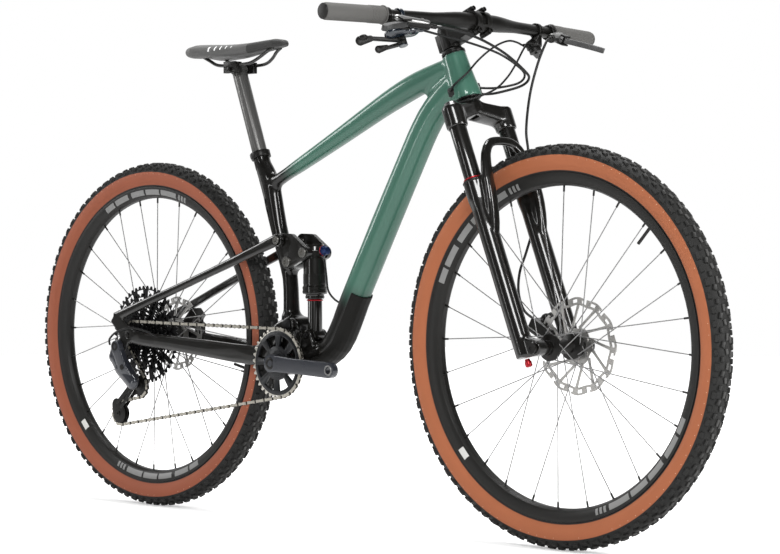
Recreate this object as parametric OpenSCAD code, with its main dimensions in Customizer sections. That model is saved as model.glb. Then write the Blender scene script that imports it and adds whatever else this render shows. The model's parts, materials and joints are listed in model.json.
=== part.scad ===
// Full-suspension mountain bike, 29 inch wheels, 100 mm of travel at each end.
// X points forward, Y to the rider's left and Z up. The origin lies on the ground midway between the axles.

/* [Wheels] */
// Distance between the two axles
wheelbase = 1124; // [1110:2:1140]
// Outer radius of the tyres
tyre_r = 368; // [366:0.5:370]
// Width of the tyre casing
tyre_w = 52; // [50:0.5:54]
// Outer radius of the rims
rim_r = 316; // [315:0.5:317]
// Width of the rims
rim_w = 34; // [32:0.5:35]
// Spokes in each wheel
spoke_count = 28; // [24:4:32]
// Radius of the front brake rotor
front_rotor_r = 90; // [80:10:90]
// Radius of the rear brake rotor
rear_rotor_r = 80; // [70:10:80]

/* [Fork and steering] */
// Angle of the steering axis from the ground
head_angle = 68.5; // [68:0.25:69]
// How far the front axle lies ahead of the steering axis
fork_offset = 44; // [42:1:46]
// Distance of each fork leg from the middle plane
leg_y = 69; // [68:0.5:70]
// Radius of the stanchions
stanchion_r = 16; // [15:0.5:16]
// Length of the stem
stem_length = 76; // [60:1:90]
// Width of the handlebar over the grips
bar_width = 746; // [720:2:760]
// Length of a grip
grip_length = 138; // [120:1:140]

/* [Frame] */
// How far the bottom bracket lies below the axles
bb_drop = 48; // [46:1:50]
// Horizontal distance from the rear axle to the bottom bracket
chainstay_run = 432; // [430:1:434]
// Half the width of the top tube at its thick end
top_tube_w = 20; // [18:0.5:22]
// Half the width of the down tube
down_tube_w = 26; // [24:0.5:27]
// Radius of the seatpost
post_r = 15.45; // [13.6:0.05:15.45]

/* [Drivetrain] */
// Length of the crank arms
crank_length = 175; // [165:2.5:175]
// How far the drive-side arm points below the horizontal
crank_angle = 2.7; // [0:0.1:5]
// Teeth on the chainring
ring_teeth = 34; // [32:2:34]
// Distance of the chainring from the middle plane
chain_line = 52; // [52:0.5:53]

/* [Hidden] */
$fn = 48;

// Points in the middle plane are [x, z]
rear_axle_at = [-wheelbase / 2, tyre_r];
front_axle_at = [wheelbase / 2, tyre_r];
bb = rear_axle_at + [chainstay_run, -bb_drop];
main_pivot = bb + [12, 77];
rocker_pivot = bb + [8, 203];
stay_eye = bb + [-10, 246];
shock_top = bb + [54, 221];
shock_foot = bb + [54, 56];
foot = front_axle_at - fork_offset * [sin(head_angle), cos(head_angle)];

// Steering parts are drawn along the steering axis: x ahead of it, z up it from the foot point
crown_low = 442;
crown_race = 503;
head_low = 508;
head_high = 603;
stem_at = 634.5;
leg_ahead = 14;
bar_sweep = 0.1017;
bar_rise = 0.0239;
bar_bend_y = 50;
bar_end_r = 11.1;
bar_mid_r = 15.85;
grip_r = 15.8;
lever_tilt = 44;
control_y = 224;
front_rotor_y = 44.5;
rear_rotor_y = 58.5;
rotor_thickness = 1.8;
hub_half_front = 55;
hub_half_rear = 74;
run_gap = 0.05;

// Chain run: teeth on the cog that carries the chain and on each derailleur pulley
pitch = 12.7;
cog_teeth = 14;
pulley_teeth = 12;
ring_r = pitch / 2 / sin(180 / ring_teeth);
cog_r = pitch / 2 / sin(180 / cog_teeth);
pulley_r = pitch / 2 / sin(180 / pulley_teeth);
cog_sizes = [10, 12, 14, 16, 18, 21, 24, 28, 32, 36, 42, 50];
cog_step = 3.6;
cog_first_y = -69;
cog_y = cog_first_y + cog_step * 2;
cage_pivot = rear_axle_at + [14, -98];
guide_at = rear_axle_at + [17, -108];
tension_at = rear_axle_at + [-45, -169];

// Seat
post_foot = [-236, 747];
post_dir = [-0.341, 0.940];
rail_y = 22;
rail_r = 3.5;

// Small helpers
function unit(v) = v / norm(v);
function signed_pow(v, p) = sign(v) * pow(abs(v), p);
function at(p, y = 0) = [p[0], y, p[1]];
function angle_at(path, i) = let (a = path[max(i - 1, 0)], b = path[min(i + 1, len(path) - 1)])
    atan2(b[1] - a[1], b[0] - a[0]);

// Ring of points round a tube in the middle plane: half width across, half height in the plane, squareness
function plane_ring(x, z, y, angle, half_w, half_h, square, sides) = [for (i = [0 : sides - 1])
    let (t = 360 * i / sides, h = half_h * signed_pow(cos(t), 2 / square),
        w = half_w * signed_pow(sin(t), 2 / square))
    [x - sin(angle) * h, y + w, z + cos(angle) * h]];

// Tube stations are [x, z, half width, half height], side-tube stations end with y
function plane_tube(path, square = 2.4, sides = 20, grow = 0) = [for (i = [0 : len(path) - 1])
    let (p = path[i])
    plane_ring(p[0], p[1], len(p) > 4 ? p[4] : 0, angle_at(path, i), p[2] + grow, p[3] + grow, square,
        sides)];

function tangent(path, i) = unit(path[min(i + 1, len(path) - 1)] - path[max(i - 1, 0)]);
function first_side(t) = abs(t[2]) < 0.9 ? unit(cross(t, [0, 0, 1])) : unit(cross(t, [1, 0, 0]));
function carried(path, i = 0, n = undef) = let (t = tangent(path, i),
    base = is_undef(n) ? first_side(t) : n,
    m = unit(base - t * (base * t))) i == len(path) - 1 ? [m] : concat([m], carried(path, i + 1, m));

// Rings of a round tube along points in space, with one radius or one for each point
function cord_rings(path, r, sides = 8) = let (normals = carried(path)) [for (i = [0 : len(path) - 1])
    let (t = tangent(path, i), n = normals[i], b = cross(n, t), q = is_list(r) ? r[i] : r)
    [for (k = [0 : sides - 1]) path[i] + q * (cos(360 * k / sides) * n + sin(360 * k / sides) * b)]];

// Curve through the points, with steps pieces between two of them
function curve_point(a, b, c, d, t) = 0.5 * (2 * b + (c - a) * t + (2 * a - 5 * b + 4 * c - d) * t * t
    + (3 * b - a - 3 * c + d) * t * t * t);
tube_steps = 2;
cord_steps = 4;
guard_wall = 3;
guard_gap = 0.3;
function curve(path, steps) = concat([for (i = [0 : len(path) - 2], k = [0 : steps - 1])
    curve_point(path[max(i - 1, 0)], path[i], path[i + 1], path[min(i + 2, len(path) - 1)], k / steps)],
    [path[len(path) - 1]]);

module loft(rings) {
    n = len(rings[0]);
    m = len(rings);
    sides = [for (j = [0 : m - 2], i = [0 : n - 1])
        let (a = j * n + i, b = j * n + (i + 1) % n) each [[a, b, b + n], [a, b + n, a + n]]];
    caps = [[for (i = [n - 1 : -1 : 0]) i], [for (i = [0 : n - 1]) (m - 1) * n + i]];
    polyhedron(points = [for (r = rings) each r], faces = concat(sides, caps), convexity = 6);
}

module closed_loop(rings) {
    n = len(rings[0]);
    m = len(rings);
    polyhedron(points = [for (r = rings) each r], convexity = 6,
        faces = [for (j = [0 : m - 1], i = [0 : n - 1])
            let (a = j * n + i, b = j * n + (i + 1) % n, c = ((j + 1) % m) * n + i,
                d = ((j + 1) % m) * n + (i + 1) % n)
            each [[a, b, d], [a, d, c]]]);
}

// Joins lofted tubes into one skin at their own size
module welded() resize([0, 0, 0]) children();

// Cylinder between two points in space
module rod(p, q, r) {
    v = q - p;
    translate(p) rotate([0, acos(v[2] / norm(v)), atan2(v[1], v[0])]) cylinder(h = norm(v), r = r);
}

// Cylinder across the bike, at a point of the middle plane
module cross_rod(p, r, y0, y1) translate([p[0], y1, p[1]]) rotate([90, 0, 0]) cylinder(h = y1 - y0,
    r = r);

// Flat shape of the middle plane, thickened across the bike
module cross_plate(y0, y1) translate([0, y1, 0]) rotate([90, 0, 0]) linear_extrude(y1 - y0) children();

// Turned piece with its axis across the bike
module cross_turned(p) translate([p[0], 0, p[1]]) rotate([-90, 0, 0]) rotate_extrude($fn = 96) children();

module both_sides() {
    children();
    mirror([0, 1, 0]) children();
}

module on_steering() translate([foot[0], 0, foot[1]]) rotate([0, head_angle - 90, 0]) children();

module ring(r_out, r_in, z0, z1) translate([0, 0, z0]) difference() {
    cylinder(h = z1 - z0, r = r_out);
    translate([0, 0, -1]) cylinder(h = z1 - z0 + 2, r = r_in);
}

// Right half of the bar from its bend outwards, in the steering frame: x ahead, y up, z outwards along the bar
bar_out = unit([-bar_sweep, -1, bar_rise]);
bar_ahead = unit([1, 0, 0] - bar_out * bar_out[0]);
bar_up = cross(bar_out, bar_ahead);
function bar_point(y) = [stem_length - (y - bar_bend_y) * bar_sweep, -y,
    stem_at + (y - bar_bend_y) * bar_rise];
module on_bar(y) {
    p = bar_point(y);
    multmatrix([[bar_ahead[0], bar_up[0], bar_out[0], p[0]],
        [bar_ahead[1], bar_up[1], bar_out[1], p[1]],
        [bar_ahead[2], bar_up[2], bar_out[2], p[2]], [0, 0, 0, 1]]) children();
}

// Front triangle
top_tube = [[-205, 677, 14, 14], [-180, 689, 14, 12.5], [-150, 702.5, 14.5, 12], [-120, 716, 15.5, 13.5], [-6, 768, 17.5, 17],
    [100, 818, 19, 20.5], [152, 841, top_tube_w, 22.5], [195, 858, top_tube_w + 1, 23],
    [236, 872, top_tube_w + 1, 22], [304, 893, top_tube_w, 18]];
down_tube = [[-118, 330, 24, 20], [-70, 334, 25, 22], [-40, 342, down_tube_w, 25], [-12, 364,
    down_tube_w, 27],
    [12, 402, down_tube_w, 27], [34, 446, down_tube_w, 27], [118, 594, down_tube_w, 27],
    [195, 725, down_tube_w, 26.5], [226, 776, down_tube_w, 26], [258, 816, 25, 26], [314, 864, 22, 24]];
seat_tube = [[-227.5, 723.5, 17.2, 17.2], [-209.6, 690, 17.4, 23.4], [-200, 662, 17.5, 22.4], [-180.5, 594, 17.5, 17.7],
    [-160, 534, 17.5, 16], [-147, 490, 17.5, 14], [-144, 445, 18, 14], [-142, 400, 20, 15], [-136, 345,
        22, 18]];
guard_path = [[-62, 335.5, 25.3, 22.5], [-40, 342, down_tube_w, 25], [-12, 364, down_tube_w, 27],
    [12, 402, down_tube_w, 27], [34, 446, down_tube_w, 27], [46, 467, down_tube_w, 27]];
down_tube_dir = unit([118 - 34, 594 - 446]);
boss_face = 28.5;
boss_spacing = 64;
boss_low = [34, 446] + 150 * down_tube_dir;
function boss_at(i) = let (c = boss_low + i * boss_spacing * down_tube_dir)
    c + boss_face * [-down_tube_dir[1], down_tube_dir[0]];

// Depth below the face of the boss and height above it, along its hole
module bottle_boss(i, r, depth, height = 0) {
    out = [-down_tube_dir[1], down_tube_dir[0]];
    rod(at(boss_at(i) - depth * out), at(boss_at(i) + height * out), r);
}

module front_triangle() color("#4f8270") difference() {
    union() {
        welded() {
            loft(plane_tube(curve(top_tube, tube_steps)));
            loft(plane_tube(curve(down_tube, tube_steps)));
            loft(plane_tube(curve(seat_tube, tube_steps), 2));
        }
        on_steering() rotate_extrude() polygon([[0, head_low], [29, head_low], [29, head_low + 14],
            [26.5, 545],
            [24, 575], [22.8, head_high], [0, head_high]]);
        rod(at(post_foot - 34 * post_dir), at(post_foot), 17.3);
        cross_rod(bb, 25, -36.5, 36.5);
        cross_rod(main_pivot, 15, -23.7, 23.7);
        cross_rod(rocker_pivot, 14, -24.5, 24.5);
        cross_plate(-14, 14) polygon([[-165, 545], rocker_pivot + [0, 13], rocker_pivot + [0, -13],
            [-150, 500]]);
        cross_plate(-20, 20) polygon([[-155, 416], [-131, 416], [-106, 405], [-103, 360], [-36, 358],
            [-30, 345],
            [-60, 325], [-150, 325]]);
        for (s = [-1, 1]) translate([0, s * 20.2, 0]) {
            cross_rod(shock_foot, 12.5, -4, 4);
            cross_plate(-4, 4) polygon([shock_foot + [-12.5, 0], shock_foot + [12.5, 0],
                shock_foot + [20, -28],
                shock_foot + [-20, -28]]);
        }
        for (i = [0, 1]) bottle_boss(i, 6, 8);
    }
    on_steering() {
        translate([0, 0, head_low - 1]) cylinder(h = head_high - head_low + 2, r = 20.4);
        translate([0, 0, head_low - 1]) cylinder(h = 12.3, r = 26);
        translate([0, 0, head_high]) cylinder(h = 40, r = 30);
    }
    rod(at(post_foot - 180 * post_dir), at(post_foot + 5 * post_dir), post_r + run_gap);
    cross_rod(bb, 20.5, -40, 40);
    cross_rod(main_pivot, 7.55, -30, 30);
    cross_rod(rocker_pivot, 6 + run_gap, -30, 30);
    cross_rod(shock_foot, 5.05, -30, 30);
    for (i = [0, 1]) bottle_boss(i, 2.5, 14, 2);
}

module headset_cups() color("#26282a") on_steering() {
    rotate_extrude() polygon([[14.3 + run_gap, 594], [20.3, 594], [20.3, head_high], [23, head_high],
        [23, head_high + 5],
        [20, head_high + 8], [14.3 + run_gap, head_high + 8]]);
    ring(25.9, 20 + run_gap, head_low + 0.2, head_low + 11);
}

module down_tube_guard() color("#1d1e1f") welded() difference() {
    loft(plane_tube(curve(guard_path, tube_steps), 2.4, 20, guard_wall));
    loft(plane_tube(curve(down_tube, tube_steps), 2.4, 20, guard_gap));
    cross_plate(-60, 60) polygon([[-110, 420], [-110, 330], [-62, 330], [-36, 338], [-2, 364], [20,
        402], [44, 446],
        [64, 481], [0, 520]]);
}

module bottom_bracket() color("#222426") both_sides() {
    translate([bb[0], 36.6, bb[1]]) rotate([90, 0, 0]) ring(20.4, 14.5 + run_gap, 0, 14);
    translate([bb[0], 44, bb[1]]) rotate([90, 0, 0]) ring(23, 14.5 + run_gap, 0, 7.4);
}

module seat_clamp() color("#1b1c1d") {
    a = post_foot - 13 * post_dir;
    difference() {
        union() {
            rod(at(a), at(post_foot - 0.2 * post_dir), 20.5);
            translate(at(a - [17, 0] + 5.5 * post_dir)) rotate([0, -19.9, 0]) cube([14, 15, 10],
                center = true);
        }
        rod(at(a - 5 * post_dir), at(post_foot + 5 * post_dir), 17.35);
        translate(at(a - [17, 0] + 5.5 * post_dir)) rotate([0, -19.9, 0]) cube([30, 2, 40],
            center = true);
    }
}

module main_pivot_axle() color("#2b2d2f") {
    cross_rod(main_pivot, 7.5, -36.8, 36.8);
    both_sides() cross_rod(main_pivot, 11, 36.8, 40);
    cross_rod(shock_foot, 5, -27, 27);
}

module shock_shaft() color("#141516") difference() {
    union() {
        translate([shock_foot[0], 0, shock_foot[1] + 8]) cylinder(h = 104, r = 14.5);
        cross_rod(shock_foot, 13.5, -15.8, 15.8);
    }
    cross_rod(shock_foot, 5.05, -20, 20);
}

// Chain: circles in the order that it runs, as [centre, radius, turn, y]
chain_wheels = [[bb, ring_r, 1, -chain_line], [rear_axle_at, cog_r, 1, cog_y], [guide_at, pulley_r, -1,
    cog_y],
    [tension_at, pulley_r, 1, cog_y]];
function heading(a, b) = let (d = b[0] - a[0]) atan2(d[1],
    d[0]) - asin((b[2] * b[1] - a[2] * a[1]) / norm(d));
function wheel_arc(i) = let (n = len(chain_wheels), w = chain_wheels[i],
    into = heading(chain_wheels[(i + n - 1) % n], w), out = heading(w, chain_wheels[(i + 1) % n]),
    turn = w[2] * ((w[2] * (out - into) % 360 + 360) % 360), steps = max(3, round(abs(turn) / 16)))
    [for (k = [0 : steps]) let (h = into + turn * k / steps)
        [w[0][0] + w[2] * w[1] * sin(h), w[0][1] - w[2] * w[1] * cos(h), h, w[3]]];
// The chain stays in line with a sprocket for a while before it slants across to the next one
line_up = [55, 110, 0, 50];
function run_point(p, d, y) = [p[0] + d * cos(p[2]), p[1] + d * sin(p[2]), p[2], y];
function leaving(i) = let (arc = wheel_arc(i), p = arc[len(arc) - 1]) i == 0 || i == 3 ? [run_point(p,
    line_up[i], p[3])] : [];
function arriving(i) = let (p = wheel_arc(i)[0]) i == 0 || i == 1 ? [run_point(p, -line_up[i],
    p[3])] : [];
chain_path = [for (i = [0 : len(chain_wheels) - 1]) each concat(arriving(i), wheel_arc(i), leaving(i))];
function chain_rings(y, half_h, half_t) = [for (p = chain_path)
    [for (c = [[1, 1], [1, -1], [-1, -1], [-1, 1]])
        [p[0] - sin(p[2]) * half_h * c[0], p[3] + y + half_t * c[1], p[1] + cos(p[2]) * half_h * c[0]]]];

module chain() color("#a8a59c") for (side = [-1, 1]) closed_loop(chain_rings(side * 1.9, 3.9, 0.55));

// Cable routes, end to end
shift_route = [[364.6, -155, 943.5], [372, -108, 936], [382, -49, 927], [397, 18, 910], [404, 67, 886],
    [405, 82, 871],
    [398, 73, 859], [371, 48, 850], [352, 35, 849], [335.5, 26.5, 850.6]];
rear_hose_route = [[401, -158, 946.6], [415, -122, 942], [424, -67, 930], [425, 2, 908], [418, 64, 879],
    [412, 87, 867],
    [399, 79, 853], [369, 50, 841], [352, 37, 838], [338, 27.6, 838.6]];
shock_remote_route = [[334.7, 156.8, 939.3], [332, 144, 944], [332, 120, 945], [334, 86, 935], [338, 50,
    918], [345, 14, 898],
    [349, -16, 876], [336, -34, 856], [322, -33, 845], [316, -22, 840]];
fork_remote_route = [[348.9, 159, 944], [352, 140, 928], [362, 105, 896], [372, 70, 870], [380, 28,
    846], [379, -16, 830],
    [372, -46, 821], [364, -60, 817]];
front_hose_route = [[401, 158, 946.6], [409, 139, 937], [407, 117, 895], [401, 102, 838], [396, 97, 774],
    [402, 95, 735],
    [411, 94, 678], [417, 92, 630], [419, 88, 585], [409, 81, 540], [399, 74, 503], [401, 68, 465],
        [420, 61, 432],
    [457, 48, 415]];
shock_cable_route = [[-40, -16, 532], [-28, -20, 522], [-23, -20, 495], [-22, -16, 466], [-14, -6,
    448], [4, 0, 438]];
rear_shift_route = [[-470, -70, 362], [-500, -80, 376], [-535, -92, 383], [-570, -101, 376], [-594,
    -103, 360],
    [-600, -98, 347]];

shift_housing_r = 2.2;
hose_r = 2.5;
remote_housing_r = 2;
module cord(route, r) loft(cord_rings(curve(route, cord_steps), r));

module control_cables() color("#151515") {
    cord(shift_route, shift_housing_r);
    cord(rear_hose_route, hose_r);
    cord(shock_remote_route, remote_housing_r);
}

module fork_cables() color("#151515") {
    cord(fork_remote_route, remote_housing_r);
    cord(front_hose_route, hose_r);
}

module shock_cable() color("#151515") cord(shock_cable_route, remote_housing_r);

module rear_shift_loop() color("#151515") cord(rear_shift_route, shift_housing_r);

// Seat
post_top = post_foot + 178 * post_dir;
head_at = post_foot + 184 * post_dir;

module seatpost() color("#2a2b2c") difference() {
    union() {
        rod(at(post_foot - 100 * post_dir), at(post_top), post_r);
        cross_rod(head_at, 11, -15, 15);
    }
    rod(at(post_foot - 101 * post_dir), at(post_foot + 140 * post_dir), post_r - 2);
    cross_rod(head_at, 4.05, -20, 20);
}

rail_z = head_at[1] + 8;
module saddle_clamp() color("#1c1d1e") {
    both_sides() difference() {
        translate([head_at[0] + 4, rail_y, head_at[1] + 3]) union() {
            translate([0, -0.5, 0]) cube([44, 10.6, 22], center = true);
            translate([0, 6.5, 6]) cube([36, 4, 12], center = true);
        }
        rod([head_at[0] - 60, rail_y, rail_z], [head_at[0] + 60, rail_y, rail_z], rail_r + 0.2);
        cross_rod(head_at, 4.05, 0, 40);
    }
    cross_rod(head_at, 4, -31, 31);
}

// Saddle stations are [x, half width, top, bottom]
saddle = [[-155, 5, 967, 962], [-161, 11, 972.5, 958], [-184, 17, 976, 955], [-216, 19.5, 974.5, 951],
    [-250, 24, 972.5, 947], [-286, 35, 971.5, 944], [-320, 49, 972, 943], [-352, 61, 974, 943],
    [-380, 66, 975.5, 942], [-398, 60, 973.5, 944], [-409, 47, 968.5, 949], [-413, 26, 964, 956]];
saddle_sides = 28;
// The crown is full, the flanks draw in under it and the underside is hollow
function saddle_ring(s) = [for (i = [0 : saddle_sides - 1])
    let (t = 360 * i / saddle_sides, rise = sin(t), mid = s[3] + (s[2] - s[3]) * 0.42)
    [s[0], s[1] * signed_pow(cos(t), 0.8) * (rise < 0 ? 1 + 0.12 * rise : 1),
        rise > 0 ? mid + (s[2] - mid) * signed_pow(rise, 0.75)
            : mid + (mid - s[3]) * signed_pow(rise, 0.6) * (1 - 0.35 * pow(abs(rise), 6))]];

module saddle_cover() color("#262727") loft([for (s = saddle) saddle_ring(s)]);

rail_route = [[-184, 10, 958], [-199, 13, 950], [-216, 18, rail_z + 8], [-234, 21, rail_z + 1], [-250,
    rail_y, rail_z],
    [-324, rail_y, rail_z], [-340, 23, rail_z + 2], [-358, 26, rail_z + 13], [-376, 30, 949]];
module saddle_rails() color("#1f2021") both_sides() loft(cord_rings(rail_route, rail_r, 10));

// Fork and cockpit
module fork_crown() color("#0f1010") on_steering() difference() {
    union() {
        rotate_extrude() polygon([[0, 474], [24, 478], [24, 497], [22, crown_race], [20, crown_race],
            [20, 525],
            [14.3, 555], [14.3, 656], [0, 656]]);
        both_sides() {
            translate([leg_ahead, leg_y, crown_low]) cylinder(h = 44, r = 20.5);
            hull() {
                translate([0, 4, 478]) cylinder(h = 20, r = 21, $fn = 32);
                translate([leg_ahead, leg_y, 456]) cylinder(h = 28, r = 18, $fn = 32);
            }
        }
        translate([leg_ahead, -leg_y, 486]) cylinder(h = 9, r = 13);
        translate([leg_ahead, leg_y, 486]) cylinder(h = 5, r = 12);
    }
    both_sides() translate([leg_ahead, leg_y, crown_low - 1]) cylinder(h = 43, r = stanchion_r + 0.03);
    translate([0, 0, 470]) cylinder(h = 200, r = 12);
}

module stanchions() color("#17181a") on_steering() both_sides() translate([leg_ahead, leg_y, 0])
    ring(stanchion_r, stanchion_r - 2.5, 240, 483);

module headset_spacers() color("#232425") on_steering() {
    ring(16.2, 14.4, head_high + 8.3, head_high + 10.8);
    translate([0, 0, 656.2]) cylinder(h = 4, r1 = 17.5, r2 = 16);
}

stem_low = head_high + 11;
stem_high = 656;
module stem() color("#1a1b1c") on_steering() difference() {
    union() {
        translate([0, 0, stem_low]) cylinder(h = stem_high - stem_low, r = 18.2);
        hull() {
            translate([4, 0, stem_low + 4]) cylinder(h = stem_high - stem_low - 8, r = 14, $fn = 32);
            translate([stem_length - 12, 0, stem_at]) rotate([90, 0, 0]) cylinder(h = 30, r = 15,
                center = true, $fn = 32);
        }
        translate([stem_length, 0, stem_at]) rotate([90, 0, 0]) cylinder(h = 44, r = 20.5, center = true);
        for (y = [-15, 15], z = [-22, 22]) translate([stem_length - 12, y, stem_at + z]) rotate([0, 90,
            0])
            cylinder(h = 11.2, r = 5.5);
        translate([-20, 0, stem_at]) cube([14, 14, 34], center = true);
    }
    translate([0, 0, stem_low - 1]) cylinder(h = 60, r = 14.3 + run_gap);
    translate([-26, 0, stem_at]) cube([30, 2.4, 60], center = true);
    translate([stem_length, 0, stem_at]) rotate([90, 0, 0]) cylinder(h = 60, r = 15.9, center = true);
    translate([stem_length - 0.8, -40, stem_at - 40]) cube([60, 80, 80]);
}

module stem_faceplate() color("#1a1b1c") on_steering() {
    difference() {
        union() {
            translate([stem_length, 0, stem_at]) rotate([90, 0, 0]) cylinder(h = 40, r = 20.5,
                center = true);
            for (y = [-15, 15], z = [-22, 22]) translate([stem_length + 0.8, y,
                stem_at + z]) rotate([0, 90, 0])
                cylinder(h = 8, r = 5.5);
        }
        translate([stem_length, 0, stem_at]) rotate([90, 0, 0]) cylinder(h = 60, r = 15.9, center = true);
        translate([stem_length - 59.2, -40, stem_at - 40]) cube([60, 80, 80]);
        translate([stem_length, 0, stem_at]) cube([80, 14, 24], center = true);
    }
    for (y = [-15, 15], z = [-22, 22]) translate([stem_length + 9, y, stem_at + z]) rotate([0, 90,
        0]) cylinder(h = 3, r = 4);
}

bar_half = bar_width / 2 - 6;
bar_stations = [[0, bar_mid_r], [38, bar_mid_r], [bar_bend_y, 15.6], [66, 14.8], [90, 12.8], [112,
    11.4], [126, bar_end_r],
    [240, bar_end_r], [bar_half, bar_end_r]];
function bar_station_point(y) = y > bar_bend_y ? bar_point(y) : [stem_length, -y, stem_at];
bar_right = [for (s = bar_stations) bar_station_point(s[0])];
bar_left = [for (i = [len(bar_right) - 1 : -1 : 1]) [bar_right[i][0], -bar_right[i][1], bar_right[i][2]]];
bar_radii = concat([for (i = [len(bar_stations) - 1 : -1 : 1]) bar_stations[i][1]],
    [for (s = bar_stations) s[1]]);

module handlebar() color("#1b1c1d") on_steering() loft(cord_rings(concat(bar_left, bar_right),
    bar_radii, 24));

module grips() color("#3c3c3c") on_steering() both_sides() on_bar(bar_width / 2 - grip_length) difference() {
    rotate_extrude() polygon([[0, 0], [grip_r - 1.5, 0], [grip_r, 3], [grip_r, grip_length - 5],
        [grip_r - 2, grip_length],
        [0, grip_length]]);
    translate([0, 0, -1]) cylinder(h = grip_length - 2, r = bar_end_r + run_gap);
}

// Brake master cylinder with its bar clamp and the fork that holds the lever blade; the cylinder leans
// away from the bar towards the middle of the bike
lever_pivot = [47, -4];
master_outer = [24, 0, 12];
master_inner = [52, 0, -58];
module brake_master() on_bar(control_y) difference() {
    union() {
        cylinder(h = 10, r = 15);
        rotate([0, 0, -lever_tilt]) {
            translate([12, -6, 0]) cube([16, 12, 10]);
            rod(master_outer, master_inner, 8.5);
            rod(master_inner, master_inner + 14 * unit(master_inner - master_outer), 4.5);
            translate([28, -10, -14]) cube([25, 3.8, 20]);
            translate([28, 6.2, -14]) cube([25, 3.8, 20]);
            translate([lever_pivot[0], -10, lever_pivot[1]]) rotate([-90, 0, 0]) cylinder(h = 20,
                r = 2.5);
        }
    }
    translate([0, 0, -1]) cylinder(h = 12, r = bar_end_r + run_gap);
}
module brake_masters() color("#1f2022") on_steering() both_sides() brake_master();

// Blade outline in the lever's plane: x away from the bar, y outwards
blade = [[45, -8], [51, -9], [57, 2], [64, 22], [72, 44], [82, 62], [90, 72], [88, 80], [80, 77], [73,
    66], [64, 48], [57, 28],
    [51, 10], [45, 2]];
module lever_blade() on_bar(control_y) rotate([0, 0, -lever_tilt]) difference() {
    cross_plate(-5, 5) polygon(blade);
    translate([lever_pivot[0], -20, lever_pivot[1]]) rotate([-90, 0, 0]) cylinder(h = 40,
        r = 2.5 + run_gap);
}
module brake_lever_right() color("#17181a") on_steering() lever_blade();
module brake_lever_left() color("#17181a") on_steering() mirror([0, 1, 0]) lever_blade();

// Shifter under the right half of the bar
shifter_y = 198;
shift_axis = [0, 8];
module shifter_body() color("#141a22") on_steering() on_bar(shifter_y) difference() {
    union() {
        translate([0, 0, -4]) cylinder(h = 9, r = 14.5);
        translate([-8, -26, -4]) cube([12, 14, 9]);
        hull() {
            translate([-3, -24, 6]) sphere(r = 8, $fn = 24);
            translate([2, -29, -20]) sphere(r = 8, $fn = 24);
            translate([-4, -30, 18]) sphere(r = 9, $fn = 24);
            translate([13, -35, 0]) sphere(r = 8, $fn = 24);
        }
        translate([6, -29, -44]) cylinder(h = 26, r1 = 3.5, r2 = 6);
        translate([shift_axis[0], -59, shift_axis[1]]) rotate([-90, 0, 0]) cylinder(h = 30, r = 3);
    }
    translate([0, 0, -8]) cylinder(h = 18, r = bar_end_r + run_gap);
}

module shift_paddle(low, tip, pad) on_steering() on_bar(shifter_y) difference() {
    union() {
        translate([shift_axis[0], low, shift_axis[1]]) rotate([-90, 0, 0]) cylinder(h = 6, r = 8);
        hull() {
            translate([shift_axis[0] - 4, low + 0.5, shift_axis[1] + 2]) rotate([-90, 0,
                0]) cylinder(h = 5, r = 5, $fn = 24);
            translate(tip - [0, 2, 8]) rotate([-90, 0, 0]) cylinder(h = 4, r = 5, $fn = 24);
        }
        hull() {
            translate(tip - [0, 0, pad[2] - pad[0]]) sphere(r = pad[0], $fn = 24);
            translate(tip) sphere(r = pad[0], $fn = 24);
            translate(tip + [pad[1], 0, -1]) sphere(r = pad[0] - 1, $fn = 24);
        }
    }
    translate([shift_axis[0], low - 1, shift_axis[1]]) rotate([-90, 0, 0]) cylinder(h = 8,
        r = 3 + run_gap);
}
module shift_paddle_main() color("#17181a") shift_paddle(-50, [-40, -28, 64], [6, 5, 14]);
module shift_paddle_release() color("#17181a") shift_paddle(-57.5, [-28, -53, 36], [5, 4, 10]);

// Lockout remote under the left half of the bar
remote_y = 186;
remote_axis = [-16, 2];
module remote_body() color("#161718") on_steering() mirror([0, 1, 0]) on_bar(remote_y) difference() {
    union() {
        translate([0, 0, -5]) cylinder(h = 10, r = 14.5);
        hull() {
            translate([-6, -14, -5]) cube([12, 4, 10]);
            translate([remote_axis[0], -30, remote_axis[1]]) rotate([-90, 0, 0]) cylinder(h = 14,
                r = 15, $fn = 32);
        }
        translate([-8, -23, -26]) cylinder(h = 16, r1 = 3, r2 = 5);
        translate([-22, -23, -26]) cylinder(h = 16, r1 = 3, r2 = 5);
        translate([remote_axis[0], -42, remote_axis[1]]) rotate([-90, 0, 0]) cylinder(h = 14, r = 3);
    }
    translate([0, 0, -10]) cylinder(h = 20, r = bar_end_r + run_gap);
}
module lockout_lever() color("#1d1e20") on_steering() mirror([0, 1, 0]) on_bar(remote_y) difference() {
    union() {
        translate([remote_axis[0], -39, remote_axis[1]]) rotate([-90, 0, 0]) cylinder(h = 8.5, r = 12);
        hull() {
            translate([remote_axis[0] - 6, -38, remote_axis[1] + 4]) rotate([-90, 0,
                0]) cylinder(h = 6, r = 5, $fn = 24);
            translate([-34, -38, 36]) rotate([-90, 0, 0]) cylinder(h = 8, r = 5, $fn = 24);
        }
    }
    translate([remote_axis[0], -45, remote_axis[1]]) rotate([-90, 0, 0]) cylinder(h = 20,
        r = 3 + run_gap);
}

// Lower legs, with an arch that rises ahead of the crown
leg_top = 338;
leg_r = 18.4;
seal_r = 20.5;
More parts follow.
